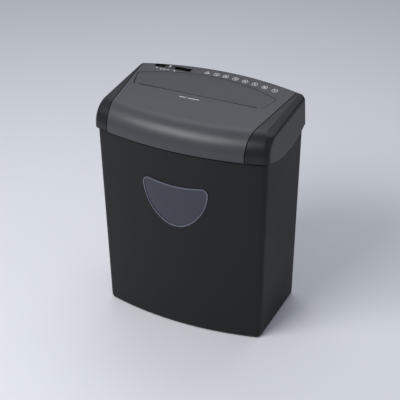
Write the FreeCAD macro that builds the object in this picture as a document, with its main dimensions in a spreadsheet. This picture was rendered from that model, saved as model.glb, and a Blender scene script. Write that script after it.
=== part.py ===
import FreeCAD, Part
import math
import os
import re

import Sketcher
from FreeCAD import Placement, Rotation, Vector

# Cross-cut paper shredder: a waste bin with a window, and a lift-off head that holds the cutters,
# gear train, motor and controls.  Millimetres, +X right, +Y back, +Z up, origin at the middle of
# the base.  SIZES are the driving dimensions; PLACES are worked out from them.
SIZES = {
    # overall
    "head_half_width": 165, "head_half_depth": 108, "head_rise": 54, "bin_height": 366,
    "bow_centre": 464,
    # bin
    "bin_taper": 7, "bin_wall": 2.8, "bin_floor": 3, "bin_corner": 12, "bin_foot_round": 6,
    "skirt_overhang": 4.2, "rebate_height": 8, "rebate_depth": 1.3,
    "notch_radius": 37, "notch_middle": 15, "notch_drop": 29,
    # window
    "window_half_width": 61.5, "window_top": 301, "window_shoulder": 219, "window_bottom": 212,
    "window_bottom_half": 23.5, "window_side_bow": 12.5, "window_top_dip": 7.5,
    "window_corner": 11, "window_rim": 2.6, "window_rim_proud": 1.3, "window_pane_proud": 0.2,
    "window_pane": 2, "window_flange": 2.5, "window_flange_thick": 1.2, "window_gap": 0.1,
    # head shells
    "head_wall": 2.5, "head_draft": 4, "head_corner": 12, "head_back_corner": 10, "front_round": 38, "back_round": 7,
    "top_fall": 3.7, "skirt_lap": 4, "skirt_dip": 15, "dip_half_chord": 75,
    "groove_width": 1.6, "left_groove_inset": 10.3, "right_groove_inset": 19.3, "groove_splay": 6.7, "groove_rib": 2.5,
    "rib_thick": 2, "cap_step": 0.8, "cap_fall": 24.9, "cap_edge_round": 3,
    # feed throat
    "slot_left_margin": 41, "slot_right_margin": 63, "slot_gap": 6, "nip_plane": 8,
    "mouth_front_lap": 10, "mouth_slant": 12.8, "mouth_end_back": 45, "mouth_back": 75.5,
    "mouth_gap": 1, "mouth_corner": 8, "throat_rim": 2.2, "throat_floor_drop": 3, "throat_slope": 6.6, "throat_wall": 2,
    "throat_flange": 4, "throat_depth": 12, "chute_bottom_rise": 6,
    # lower housing
    "tub_depth": 50, "tub_side_gap": 8, "tub_face_gap": 8, "tub_wall": 2.5, "tub_floor": 3,
    "tub_corner": 12, "flange_thick": 3, "flange_gap": 0.4, "outlet_margin": 5,
    "boss_radius": 4.5, "boss_front_inset": 21, "boss_back_inset": 29, "boss_inset_y": 41, "boss_middle_inset": 20,
    # fasteners
    "screw_radius": 2, "screw_head_radius": 3.8, "screw_head": 2.2, "small_screw_radius": 1.5,
    # cutter block
    "shaft_drop": 16, "shaft_spacing": 36, "journal_radius": 5, "running_gap": 0.05,
    "shaft_flats": 14, "disc_radius": 19.75, "disc_thick": 3.7, "cutter_pitch": 8,
    "spacer_radius": 15.5, "end_float": 0.5, "plate_thick": 2, "plate_gap": 4,
    "plate_bottom_rise": 6, "tie_radius": 4, "tie_span": 38, "tie_low": 17, "tie_high": 20,
    "bush_wall": 2, "bush_flange": 2, "bush_flange_thick": 1, "bush_proud": 3,
    "comb_thick": 3, "comb_gap": 0.5, "comb_half_height": 12, "finger_half_height": 5,
    "mount_size": 14, "mount_height": 9.5,
    # gear train
    "sync_teeth": 24, "sync_module": 1.5, "sync_width": 8, "gear_gap": 2,
    "pinion_teeth": 12, "first_teeth": 48, "first_module": 1, "second_teeth": 36,
    "second_module": 1.25, "output_teeth": 32, "output_module": 1.5, "output_width": 10,
    "gear_width": 8, "pin_radius": 2.5, "second_gear_angle": 111.3, "backlash": 0.12,
    # motor
    "motor_radius": 22, "motor_length": 68, "motor_wall": 1.5, "motor_back": 49.5,
    "bell_length": 10, "armature_radius": 17, "motor_shaft_radius": 2.5,
    # controls
    "tray_left": 35, "tray_length": 73, "tray_width": 12, "tray_middle": 81.5, "tray_depth": 5,
    "tray_wall": 1.5, "knob_length": 20, "knob_offset": 66, "knob_gap": 0.3, "knob_travel": 16,
    "board_length": 80, "board_height": 42, "board_thick": 1.6, "board_back": 72,
    "interlock_x": 60, "interlock_y": 92, "plunger_radius": 3, "plunger_gap": 0.3,
    "spring_rise": 7.3, "spring_wire": 0.4,
    "lever_x": 11, "lever_width": 3, "lever_pin_radius": 1.2,
    "gland_x": 97, "gland_rise": 12, "gland_radius": 6.5, "gland_bore": 3.75,
}
PLACES = {
    "top_z": "bin_height + head_rise",
    "rim_half_width": "head_half_width - skirt_overhang - 0.8",
    "rim_half_depth": "head_half_depth - skirt_overhang + 0.2",
    "skirt_z": "bin_height - skirt_lap",
    "slot_left": "0 - (head_half_width - slot_left_margin)",
    "slot_right": "head_half_width - slot_right_margin",
    "slot_front": "nip_plane - slot_gap / 2",
    "slot_back": "nip_plane + slot_gap / 2",
    "shaft_z": "bin_height - shaft_drop",
    "front_shaft_y": "nip_plane - shaft_spacing / 2",
    "rear_shaft_y": "nip_plane + shaft_spacing / 2",
    "chute_z": "bin_height + chute_bottom_rise",
    "tub_z": "bin_height - tub_depth",
    "tub_top": "tub_z + tub_floor",
    "tub_half_width": "rim_half_width - tub_side_gap",
    "tub_half_depth": "rim_half_depth - tub_face_gap",
    "flange_z": "bin_height + flange_thick",
    "flange_half_width": "rim_half_width - rebate_depth - flange_gap",
    "flange_half_depth": "rim_half_depth - rebate_depth - flange_gap",
    "left_plate": "slot_left - plate_gap - plate_thick",
    "right_plate": "slot_right + plate_gap",
    "plate_z": "tub_top + plate_bottom_rise",
    "rotor_start": "left_plate + plate_thick + bush_flange_thick + end_float",
    "rotor_end": "right_plate - bush_flange_thick - end_float",
    "sync_x": "left_plate - bush_proud - 1 - sync_width",
    "first_x": "right_plate + plate_thick + 3",
    "second_x": "first_x + gear_width + gear_gap",
    "output_x": "second_x + gear_width + gear_gap",
    "outer_plate": "output_x + output_width + 3",
    "motor_y": "front_shaft_y - 47.5",
    "boss_front_x": "head_half_width - boss_front_inset",
    "boss_back_x": "head_half_width - boss_back_inset",
    "boss_y": "head_half_depth - boss_inset_y",
    "boss_middle": "head_half_depth - boss_middle_inset",
    "tray_start": "0 - head_half_width + tray_left",
    "tray_end": "tray_start + tray_length",
    "knob_x": "0 - head_half_width + knob_offset",
    "gland_z": "bin_height + gland_rise",
    "board_start": "slot_left + 6",
}
BIG = 700  # a length that passes right through the object
SPRING_TURNS = 4
WIRE_SIDES = 16  # flats round the spring's wire
doc = FreeCAD.newDocument("paper_shredder")
sheet = doc.addObject("Spreadsheet::Sheet", "Sizes")
for row, (alias, number) in enumerate(SIZES.items(), start=1):
    sheet.set(f"A{row}", alias)
    sheet.set(f"B{row}", str(number))
    sheet.setAlias(f"B{row}", alias)
doc.recompute()
NODES = []


# ------------------------------------------------------------------ sizes and plain pieces
def linked(text):
    """An expression in the sheet's cells, from one that uses the names above."""
    def swap(match):
        word = match.group(0)
        if word in PLACES:
            return "(" + linked(PLACES[word]) + ")"
        return "Sizes." + word if word in SIZES else word
    return re.sub(r"[a-z_]+", swap, str(text))


def size(text):
    """The value of an expression now, in millimetres."""
    return float(sheet.evalExpression(linked(text)))


def bind(item, **properties):
    for name, expression in properties.items():
        item.setExpression(name, linked(expression))


def put(item, x=0, y=0, z=0, turn=None):
    item.Placement = Placement(Vector(), turn or Rotation())
    for axis, expression in zip("xyz", (x, y, z)):
        item.setExpression("Placement.Base." + axis, linked(expression))
    return item


def box(name, x, y, z):
    """A block between pairs of expressions, low and high, along each axis."""
    item = doc.addObject("Part::Box", name)
    spans = [f"({high}) - ({low})" for low, high in (x, y, z)]
    bind(item, Length=spans[0], Width=spans[1], Height=spans[2])
    return put(item, x[0], y[0], z[0])


ALONG = {"x": Rotation(Vector(0, 1, 0), 90), "y": Rotation(Vector(1, 0, 0), -90), "z": Rotation()}


def rod(name, along, start, end, radius, **at):
    """A round bar along x, y or z, from start to end; the other two axes are in at."""
    item = doc.addObject("Part::Cylinder", name)
    bind(item, Radius=radius, Height=f"({end}) - ({start})")
    return put(item, **{**at, along: start}, turn=ALONG[along])


def tube(name, along, start, end, radius, bore, **at):
    outer = rod(name + "_outer", along, start, end, radius, **at)
    inner = rod(name + "_bore", along, start, end, bore, **at)
    return cut(name, outer, inner)


def fuse(name, *pieces):
    item = doc.addObject("Part::MultiFuse", name)
    item.Shapes = list(pieces)
    return item


def common(name, *pieces):
    item = doc.addObject("Part::MultiCommon", name)
    item.Shapes = list(pieces)
    return item


def group(name, *pieces):
    item = doc.addObject("Part::Compound", name)
    item.Links = list(pieces)
    return item


def cut(name, base, *tools):
    item = doc.addObject("Part::Cut", name)
    item.Base = base
    item.Tool = tools[0] if len(tools) == 1 else fuse(name + "_tools", *tools)
    return item


def shaped(name, shape, base=Vector()):
    """A piece whose shape is worked out below from the sheet's values."""
    item = doc.addObject("Part::Feature", name)
    item.Shape = shape
    item.Placement = Placement(base, Rotation())
    return item


def rounded(name, base, radius, chosen):
    """The base with the edges that chosen() picks rounded."""
    doc.recompute()
    item = doc.addObject("Part::Fillet", name)
    item.Base = base
    picked = [i for i, edge in enumerate(base.Shape.Edges, start=1) if chosen(edge)]
    item.Edges = [(i, radius, radius) for i in picked]
    return item


def node(item, label):
    """Names a finished sub-part."""
    item.Label = label
    NODES.append(item)
    return item


def upright(edge):
    low, high = sorted(v.Z for v in edge.Vertexes[:1] + edge.Vertexes[-1:])
    box_ = edge.BoundBox
    return high - low > 0.5 * max(box_.XLength, box_.YLength, 1) and high - low > 20


def bowed_block(name, widths, depths, heights):
    """Flat tapering sides and a bowed front and back; each pair is half sizes or heights, low
    and high, and all the bows share two upright axes."""
    rise = f"({heights[1]}) - ({heights[0]})"
    faces = []
    for side, sign in (("front", ""), ("back", "0 - ")):
        if depths[0] == depths[1]:
            face = doc.addObject("Part::Cylinder", f"{name}_{side}")
            bind(face, Radius=f"bow_centre + ({depths[0]})", Height=rise)
        else:
            face = doc.addObject("Part::Cone", f"{name}_{side}")
            bind(face, Radius1=f"bow_centre + ({depths[0]})", Radius2=f"bow_centre + ({depths[1]})",
                 Height=rise)
        faces.append(put(face, 0, sign + "bow_centre", heights[0]))
    sides = doc.addObject("Part::Wedge", name + "_sides")
    bind(sides, Xmin=f"0 - ({widths[0]})", Xmax=widths[0], X2min=f"0 - ({widths[1]})",
         X2max=widths[1], Ymin=heights[0], Ymax=heights[1])
    sides.Zmin = sides.Z2min = -BIG
    sides.Zmax = sides.Z2max = BIG
    sides.Placement = Placement(Vector(), Rotation(Vector(1, 0, 0), 90))
    return common(name, *faces, sides)


def rounded_block(name, widths, depths, heights, corner):
    block = bowed_block(name + "_block", widths, depths, heights)
    return rounded(name, block, size(corner), upright)


# ------------------------------------------------------------------ PartDesign helpers
def new_body(label):
    return doc.addObject("PartDesign::Body", label)


def new_sketch(body, name, role, offset="0"):
    """A sketch on one of the body's origin planes, moved along the plane's normal."""
    sketch = body.newObject("Sketcher::SketchObject", name)
    plane = next(item for item in body.Origin.OriginFeatures if item.Role == role)
    sketch.AttachmentSupport = [(plane, "")]
    sketch.MapMode = "FlatFace"
    sketch.setExpression("AttachmentOffset.Base.z", linked(offset))
    return sketch


def draw_loop(sketch, points):
    """A closed outline of straight lines, each corner held at a pair of expressions."""
    spots = [Vector(size(u), size(v), 0) for u, v in points]
    lines = []
    for start, end in zip(spots, spots[1:] + spots[:1]):
        lines.append(sketch.addGeometry(Part.LineSegment(start, end), False))
    for this, following in zip(lines, lines[1:] + lines[:1]):
        sketch.addConstraint(Sketcher.Constraint("Coincident", this, 2, following, 1))
    for line, (u, v) in zip(lines, points):
        hold(sketch, line, 1, u, v)


def hold(sketch, geometry, end, u, v):
    for kind, expression in (("DistanceX", u), ("DistanceY", v)):
        number = sketch.addConstraint(
            Sketcher.Constraint(kind, -1, 1, geometry, end, size(expression)))
        sketch.setExpression(f"Constraints[{number}]", linked(expression))


def draw_rectangle(sketch, u, v):
    draw_loop(sketch, [(u[0], v[0]), (u[1], v[0]), (u[1], v[1]), (u[0], v[1])])


def draw_circle(sketch, u, v, radius):
    circle = Part.Circle(Vector(size(u), size(v), 0), Vector(0, 0, 1), size(radius))
    ring = sketch.addGeometry(circle, False)
    hold(sketch, ring, 3, u, v)
    number = sketch.addConstraint(Sketcher.Constraint("Radius", ring, size(radius)))
    sketch.setExpression(f"Constraints[{number}]", linked(radius))


def pad(body, sketch, length, name="Pad"):
    feature = body.newObject("PartDesign::Pad", name)
    feature.Profile = sketch
    feature.setExpression("Length", linked(length))
    return feature


def padded(label, role, offset, length, outline, holes=()):
    """A flat sub-part: one outline and its round holes, padded from a plane."""
    body = new_body(label)
    sketch = new_sketch(body, label + "_sketch", role, offset)
    draw_loop(sketch, outline)
    for u, v, radius in holes:
        draw_circle(sketch, u, v, radius)
    pad(body, sketch, length, label + "_pad")
    return body


# ------------------------------------------------------------------ bin and window
def crossing(bar, height):
    """A bar's straight edges along Y at one height."""
    return [edge for edge in bar.Edges
            if all(abs(v.Z - height) < 0.01 for v in edge.Vertexes)
            and abs(edge.Vertexes[0].Y - edge.Vertexes[-1].Y) > 1]


def window_prism(name, inset):
    """The window's shield outline, shrunk by inset, as a bar that passes through the front."""
    half = size(f"window_half_width - ({inset})")
    top = size(f"window_top - ({inset})")
    dip = size("window_top_dip")
    low_half = size(f"window_bottom_half - ({inset}) / 2")
    shoulder = size(f"window_shoulder + ({inset}) * 0.85")
    bottom = size(f"window_bottom + ({inset})")
    bow = size("window_side_bow")
    y = -size("head_half_depth") - 10
    corner, foot = Vector(half, y, top), Vector(low_half, y, shoulder)
    along = (foot - corner).normalize()
    outward = Vector(-along.z, 0, along.x)
    side = (corner + foot) * 0.5 + outward * bow
    left = [Vector(-p.x, p.y, p.z) for p in (corner, side, foot)]
    edges = [
        Part.Arc(left[0], Vector(0, y, top - dip), corner).toShape(),
        Part.Arc(corner, side, foot).toShape(),
        Part.Arc(foot, Vector(0, y, bottom), left[2]).toShape(),
        Part.Arc(left[2], left[1], left[0]).toShape(),
    ]
    bar = Part.Face(Part.Wire(edges)).extrude(Vector(0, size("head_half_depth"), 0))
    return shaped(name, bar.makeFillet(size(f"window_corner - ({inset})"), crossing(bar, top)))


def front_layer(name, outside, inside):
    """A layer parallel to the bin's front face, from outside it to inside it."""
    layers = []
    for part_name, reach in ((name + "_outer", outside), (name + "_inner", inside)):
        layer = doc.addObject("Part::Cone", part_name)
        bind(layer, Radius1=f"bow_centre + rim_half_depth - bin_taper / 2 + ({reach})",
             Radius2=f"bow_centre + rim_half_depth + ({reach})", Height="bin_height")
        layers.append(put(layer, 0, "bow_centre", 0))
    return cut(name, *layers)


def make_bin():
    widths = ("rim_half_width - bin_taper", "rim_half_width")
    depths = ("rim_half_depth - bin_taper / 2", "rim_half_depth")
    outer = rounded_block("bin_outer", widths, depths, ("0", "bin_height"), "bin_corner")
    foot = rounded("bin_foot", outer, size("bin_foot_round"),
                   lambda edge: edge.BoundBox.ZMax < 0.01)
    inside = [f"({w}) - bin_wall" for w in widths]
    within = [f"({d}) - bin_wall" for d in depths]
    cavity = rounded_block("bin_cavity", inside, within, ("bin_floor", "bin_height + 1"),
                           "bin_corner - bin_wall")
    rebate_low = "bin_height - rebate_height"
    band = bowed_block("rebate_band", ("rim_half_width + 5",) * 2, ("rim_half_depth + 5",) * 2,
                       (rebate_low, "bin_height + 1"))
    core = rounded_block("rebate_core", ("rim_half_width - rebate_depth",) * 2,
                         ("rim_half_depth - rebate_depth",) * 2,
                         ("bin_height - 40", "bin_height + 2"), "bin_corner - rebate_depth")
    notch_z = "bin_height - notch_drop + notch_radius"
    notch = rod("hand_notch", "x", "0 - head_half_width - 5", "head_half_width + 5",
                "notch_radius", y="notch_middle", z=notch_z)
    hole = window_prism("window_hole", "0")
    shell = cut("bin_shell", foot, cavity, cut("rebate", band, core), notch, hole)
    tab = box("interlock_tab", ("0 - interlock_x - 4", "4 - interlock_x"),
              ("interlock_y - 4", "rim_half_depth"), ("bin_height - 26", "bin_height - 2"))
    keep = rounded_block("tab_trim", [f"({w}) - rebate_depth * 1.5" for w in widths],
                         [f"({d}) - rebate_depth * 1.5" for d in depths],
                         ("0", "bin_height"), "bin_corner - rebate_depth * 1.5")
    node(fuse("bin_with_tab", shell, common("tab_in_bin", tab, keep)), "bin")


def make_window():
    pane = common("window_pane_part", window_prism("pane_outline", "window_gap"),
                  front_layer("pane_layer", "window_pane_proud", "window_pane_proud - window_pane"))
    ring = cut("rim_ring", window_prism("rim_outline", "window_gap"),
               window_prism("rim_hole", "window_gap + window_rim"))
    rim = common("window_rim_part", ring,
                 front_layer("rim_layer", "window_rim_proud", "0 - bin_wall - window_gap"))
    flange = common("window_flange_part", window_prism("flange_outline", "0 - window_flange"),
                    front_layer("flange_layer", "0 - bin_wall - window_gap",
                                "0 - bin_wall - window_gap - window_flange_thick"))
    lip = cut("window_lip", flange, window_prism("lip_hole", "window_gap + window_rim"))
    node(fuse("window_moulding", pane, rim, lip), "bin_window")


# ------------------------------------------------------------------ head shells
def bow_profile(inset, round_radius, depth, top_at_front, fall):
    """Section of a bowed face from the bow's axis outwards: top line, round and upright face."""
    centre = size("bow_centre")
    radius = centre + depth - inset
    bend = round_radius - inset
    slope = math.radians(fall)
    # the top line passes through (radius, top_at_front) before it is rounded
    top = top_at_front - inset / math.cos(slope)
    middle_r = radius - bend
    middle_z = top + bend * math.tan(slope) - bend / math.cos(slope)
    start = Vector(middle_r + bend * math.sin(slope), 0, middle_z + bend * math.cos(slope))
    turn = math.pi / 4 - slope / 2
    mid = Vector(middle_r + bend * math.cos(turn), 0, middle_z + bend * math.sin(turn))
    end = Vector(radius, 0, middle_z)
    inner = centre - depth - 40
    back = Vector(inner, 0, start.z + (start.x - inner) * math.tan(slope))
    low = size("bin_height") - 60
    corner, foot = Vector(inner, 0, low), Vector(radius, 0, low)
    edges = [Part.makeLine(back, start), Part.Arc(start, mid, end).toShape(),
             Part.makeLine(end, foot), Part.makeLine(foot, corner), Part.makeLine(corner, back)]
    return Part.Face(Part.Wire(edges))


def head_form(inset):
    """The head's outer form shrunk by inset: rounded front and back, drafted sides."""
    centre = size("bow_centre")
    depth = size("head_half_depth")
    top = size("top_z")
    fall = size("top_fall")
    front_top = top - (2 * depth - size("back_round")) * math.tan(math.radians(fall))
    solids = []
    for sign, bend, height, slope in ((1, "front_round", front_top, fall),
                                      (-1, "back_round", top, 0)):
        face = bow_profile(inset, size(bend), depth, height, slope)
        face.rotate(Vector(), Vector(0, 0, 1), -90 * sign - 40)
        solid = face.revolve(Vector(), Vector(0, 0, 1), 80)
        solid.translate(Vector(0, sign * centre, 0))
        solids.append(solid)
    half = size("head_half_width")
    low = size("skirt_z - skirt_dip")
    high_half = half - size("head_draft")
    slant = math.atan2(half - high_half, top - low)
    sides = []
    reach = half - inset / math.cos(slant)
    for z in (low - BIG / 20, top + BIG / 20):
        x = reach - (z - low) * math.tan(slant)
        sides.append((x, z))
    (x0, z0), (x1, z1) = sides
    loop = [Vector(-x0, -BIG, z0), Vector(x0, -BIG, z0), Vector(x1, -BIG, z1), Vector(-x1, -BIG, z1)]
    wedge = Part.Face(Part.makePolygon(loop + loop[:1])).extrude(Vector(0, 2 * BIG, 0))
    form = solids[0].common(solids[1]).common(wedge).removeSplitter()
    form = form.makeFillet(size("head_corner") - inset, tall_edges(form, -1))
    return form.makeFillet(size("head_back_corner") - inset, tall_edges(form, 1))


def tall_edges(form, side):
    """The long edges that climb at the front (side -1) or back (side 1) corners."""
    near = 40
    return [edge for edge in form.Edges
            if all(v.Y * side > near for v in edge.Vertexes) and edge.Length > 20
            and abs(edge.Vertexes[0].Z - edge.Vertexes[-1].Z) > 20]


def half_space(point, normal, reach=BIG):
    """A block that fills the side of a plane that its normal points to."""
    block = Part.makeBox(2 * reach, 2 * reach, reach, Vector(-reach, -reach, 0))
    block.Placement = Placement(point, Rotation(Vector(0, 0, 1), normal))
    return block


def groove_plane(side, shift):
    """A point and the outward normal of a groove's plane, moved outwards by shift."""
    splay = math.radians(size("groove_splay"))
    normal = Vector(side * math.cos(splay), -math.sin(splay), 0)
    inset = "right_groove_inset" if side > 0 else "left_groove_inset"
    point = Vector(side * size("head_half_width - " + inset), size("mouth_back + 8.5"), 0)
    return point + normal * shift, normal


def skirt_trim(side_dips):
    """Space above the head's lower edge: level at front and back, dipping at the sides."""
    level = size("skirt_z")
    above = Part.makeBox(2 * BIG, 2 * BIG, BIG, Vector(-BIG, -BIG, level))
    if not side_dips:
        return above
    chord, dip = size("dip_half_chord"), size("skirt_dip")
    radius = (chord ** 2 + dip ** 2) / (2 * dip)
    roller = Part.makeCylinder(radius, 2 * BIG, Vector(-BIG, 0, level - dip + radius), Vector(1, 0, 0))
    return above.fuse(roller)


def mouth_outline(grow, low, high):
    """The mouth's plan, grown by grow, as an upright block: a straight front edge, slanted ends
    and a bowed back edge."""
    front = size("slot_front") - 0.5
    end_back = size("mouth_end_back")
    lap = size("mouth_front_lap")
    slant = size("mouth_slant")
    left, right = size("slot_left") - lap, size("slot_right") + lap
    points = [Vector(left, front, 0), Vector(right, front, 0), Vector(right + slant, end_back, 0),
              Vector((left + right) / 2 - 17, size("mouth_back"), 0),
              Vector(left - slant, end_back, 0)]
    edges = [Part.makeLine(points[0], points[1]), Part.makeLine(points[1], points[2]),
             Part.Arc(points[2], points[3], points[4]).toShape(),
             Part.makeLine(points[4], points[0])]
    wire = Part.Wire(edges)
    if grow:
        wire = wire.makeOffset2D(grow, 2, False, False)
    face = Part.Face(wire)
    face.translate(Vector(0, 0, low))
    block = face.extrude(Vector(0, 0, high - low))
    corners = [edge for edge in block.Edges if all(v.Y > end_back - 15 for v in edge.Vertexes)
               and abs(edge.Vertexes[0].Z - edge.Vertexes[-1].Z) > (high - low) / 2]
    return block.makeFillet(size("mouth_corner") + grow, corners)


def rail(side, outward, depth_form, wall_form):
    """The turned-in edge along a groove, between the shell and a deeper form: outside the groove
    where outward is 1, inside it where -1."""
    layer = wall_form.cut(depth_form)
    near, normal = groove_plane(side, outward * size("groove_width") / 2)
    far, _ = groove_plane(side, outward * size("groove_width / 2 + rib_thick"))
    kept = layer.common(half_space(near, normal * outward))
    return kept.common(half_space(far, normal * -outward))


def boss(x, y, low, form):
    """A screw boss from a level up to the underside of a shell."""
    post = Part.makeCylinder(size("boss_radius"), BIG / 2, Vector(x, y, low))
    return post.common(form)


def screw_bore(x, y):
    return Part.makeCylinder(size("screw_radius"), 18, Vector(x, y, size("bin_height") - 1))


def make_head_shells():
    outer, inner = head_form(0), head_form(size("head_wall"))
    deep = head_form(size("head_wall + groove_rib"))
    shell = outer.cut(inner)
    flange_z = size("flange_z")
    front_x, back_x = size("boss_front_x"), size("boss_back_x")
    boss_y, middle = size("boss_y"), size("boss_middle")

    cover = shell.common(skirt_trim(False))
    for side in (-1, 1):
        point, normal = groove_plane(side, -size("groove_width") / 2)
        cover = cover.cut(half_space(point, normal))
    inner_above = inner.common(skirt_trim(False))
    rails = [rail(side, -1, deep, inner_above) for side in (-1, 1)]
    bosses = [boss(side * back_x, boss_y, flange_z + 3, inner) for side in (-1, 1)]
    bosses += [boss(0, y, flange_z, inner) for y in (-middle, middle)]
    cover = cover.fuse(rails + bosses)
    for x, y in ((-back_x, boss_y), (back_x, boss_y), (0, -middle), (0, middle)):
        cover = cover.cut(screw_bore(x, y))
    top = size("top_z")
    cover = cover.cut(mouth_outline(0, top - 25, top + 5))
    tray_half = size("tray_width") / 2
    tray = Part.makeBox(size("tray_length"), 2 * tray_half, 30,
                        Vector(size("tray_start"), size("tray_middle") - tray_half, top - 20))
    cover = cover.cut(tray)
    radius = size("gland_radius")
    gland = Part.makeCylinder(radius, 30, Vector(size("gland_x"), size("head_half_depth") - 22,
                                                 size("gland_z")), Vector(0, 1, 0))
    slot = Part.makeBox(2 * radius, 30, size("gland_z - skirt_z") + 1,
                        Vector(size("gland_x") - radius, size("head_half_depth") - 22,
                               size("skirt_z") - 1))
    cover = cover.cut(gland.fuse(slot))
    node(shaped("top_cover_shell", cover), "top_cover")

    for side, label in ((-1, "left_end_cap"), (1, "right_end_cap")):
        edge, normal = groove_plane(side, size("groove_width") / 2)
        fall = math.radians(size("cap_fall"))
        slope = math.radians(size("top_fall"))
        down = Vector(side * math.sin(fall), -math.sin(slope), math.cos(fall))
        back_top = size("top_z") - 0.5 * size("cap_step")
        start = Vector(edge.x, edge.y, back_top - size("cap_step"))
        outside = half_space(start, down)
        sunk = {}
        for inset, form in ((0, outer), (1, inner), (2, deep)):
            depth = size("head_wall") * (inset > 0) + size("groove_rib") * (inset > 1)
            lowered = outside.copy()
            lowered.translate(down * -depth)
            sunk[inset] = form.cut(lowered)
        ridges = [e for e in sunk[0].Edges if e.BoundBox.YLength > size("head_half_depth") / 2
                  and all(abs((v.Point - start).dot(down)) < 0.01 for v in e.Vertexes)]
        crest = sorted(ridges, key=lambda e: abs(e.BoundBox.Center.x))[:1]
        body = sunk[0].makeFillet(size("cap_edge_round"), crest) if crest else sunk[0]
        trim = skirt_trim(True)
        cap = body.cut(sunk[1]).common(trim).common(half_space(edge, normal))
        edge_rail = rail(side, 1, sunk[2], sunk[1].common(skirt_trim(False)))
        front_boss = boss(side * front_x, -boss_y, flange_z, sunk[1])
        tab_x = sorted((side * (back_x - size("boss_radius") - 1), side * BIG))
        tab = Part.makeBox(tab_x[1] - tab_x[0], 2 * size("boss_radius") + 2, 3,
                           Vector(tab_x[0], boss_y - size("boss_radius") - 1, flange_z))
        cap = cap.fuse([edge_rail, front_boss, tab.common(inner)]).removeSplitter()
        for x, y in ((front_x, -boss_y), (back_x, boss_y)):
            cap = cap.cut(screw_bore(side * x, y))
        node(shaped(label + "_shell", cap), label)
    return outer, inner


def make_feed_throat(outer, inner):
    """Dished floor that leads paper to the slot, and the chute down to the cutters."""
    gap, wall = size("mouth_gap"), size("throat_wall")
    top = size("top_z")
    slot_front, slot_back = size("slot_front"), size("slot_back")
    left, right = size("slot_left"), size("slot_right")
    slope = math.radians(size("throat_slope"))
    front_z = top - (size("head_half_depth") - slot_front) * math.tan(
        math.radians(size("top_fall"))) - size("throat_floor_drop")
    normal = Vector(0, -math.sin(slope), math.cos(slope))
    hinge = Vector(0, slot_front, front_z)
    flange_top = front_z - size("throat_depth") + size("throat_wall") + 5
    low = flange_top - size("throat_wall")
    block = mouth_outline(-gap, low, top + 5).common(head_form(0.3))
    recess = mouth_outline(-gap - size("throat_rim"), low, top + 5)
    nearer = recess.copy()
    nearer.translate(Vector(0, -size("throat_rim") * 2, 0))
    block = block.cut(recess.fuse(nearer).common(half_space(hinge, normal)))
    hollow = mouth_outline(-gap - wall, low - 1, top + 5).cut(half_space(hinge - normal * wall, normal))
    flange = mouth_outline(size("throat_flange"), low, flange_top)
    flange = flange.cut(mouth_outline(-gap - wall, low - 1, flange_top + 1))
    dish = block.cut(hollow).fuse(flange)
    chute_z = size("chute_z")
    chute = Part.makeBox(right - left + 2 * wall, slot_back - slot_front + 2 * wall,
                         front_z - 0.2 - chute_z, Vector(left - wall, slot_front - wall, chute_z))
    shoulder = Part.makeBox(2 * BIG, wall + 1, 20, Vector(-BIG, slot_front - wall - 1, front_z - 1.8))
    throat = dish.fuse(chute.cut(half_space(hinge, normal)).cut(shoulder))
    slot = Part.makeBox(right - left, slot_back - slot_front, top - chute_z + 5,
                        Vector(left, slot_front, chute_z - 1))
    throat = throat.cut(slot)
    # ears and window for the paper lever behind the chute
    lever_x = -size("lever_x")
    half = size("lever_width") / 2 + size("plunger_gap")
    window = Part.makeBox(2 * half, slot_back - slot_front + 2 * wall + 2, 20,
                          Vector(lever_x - half, slot_front, chute_z + 4))
    throat = throat.cut(window)
    pin_y, pin_z = lever_axis()
    for sign in (-1, 1):
        ear_x = lever_x + sign * (half + 1) - 1
        ear = Part.makeBox(2, pin_y + 4 - slot_back, 9, Vector(ear_x, slot_back, pin_z - 4.5))
        throat = throat.fuse(ear)
    pin = Part.makeCylinder(size("lever_pin_radius"), 2 * half + 4,
                            Vector(lever_x - half - 2, pin_y, pin_z), Vector(1, 0, 0))
    throat = throat.fuse(pin)
    posts = [boss(x, y, flange_top, inner.common(outer)) for x, y in throat_posts()]
    keep = mouth_outline(gap, flange_top, top + 5)
    posts = [post.cut(keep) for post in posts]
    node(shaped("throat_moulding", throat.fuse(posts)), "feed_throat")


def throat_posts():
    """Fixing posts on the throat's flange: one at each front corner and one at the right end."""
    lap = size("mouth_front_lap")
    left, right = size("slot_left") - lap, size("slot_right") + lap
    front = size("slot_front") - 3
    return ((left - 2, front), (right + 2, front), (right + size("mouth_slant") + 1,
                                                    size("mouth_end_back")))


def lever_axis():
    """Where the paper lever's pin lies, along Y and Z."""
    return size("slot_back + 12"), size("chute_z + 20")


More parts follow.
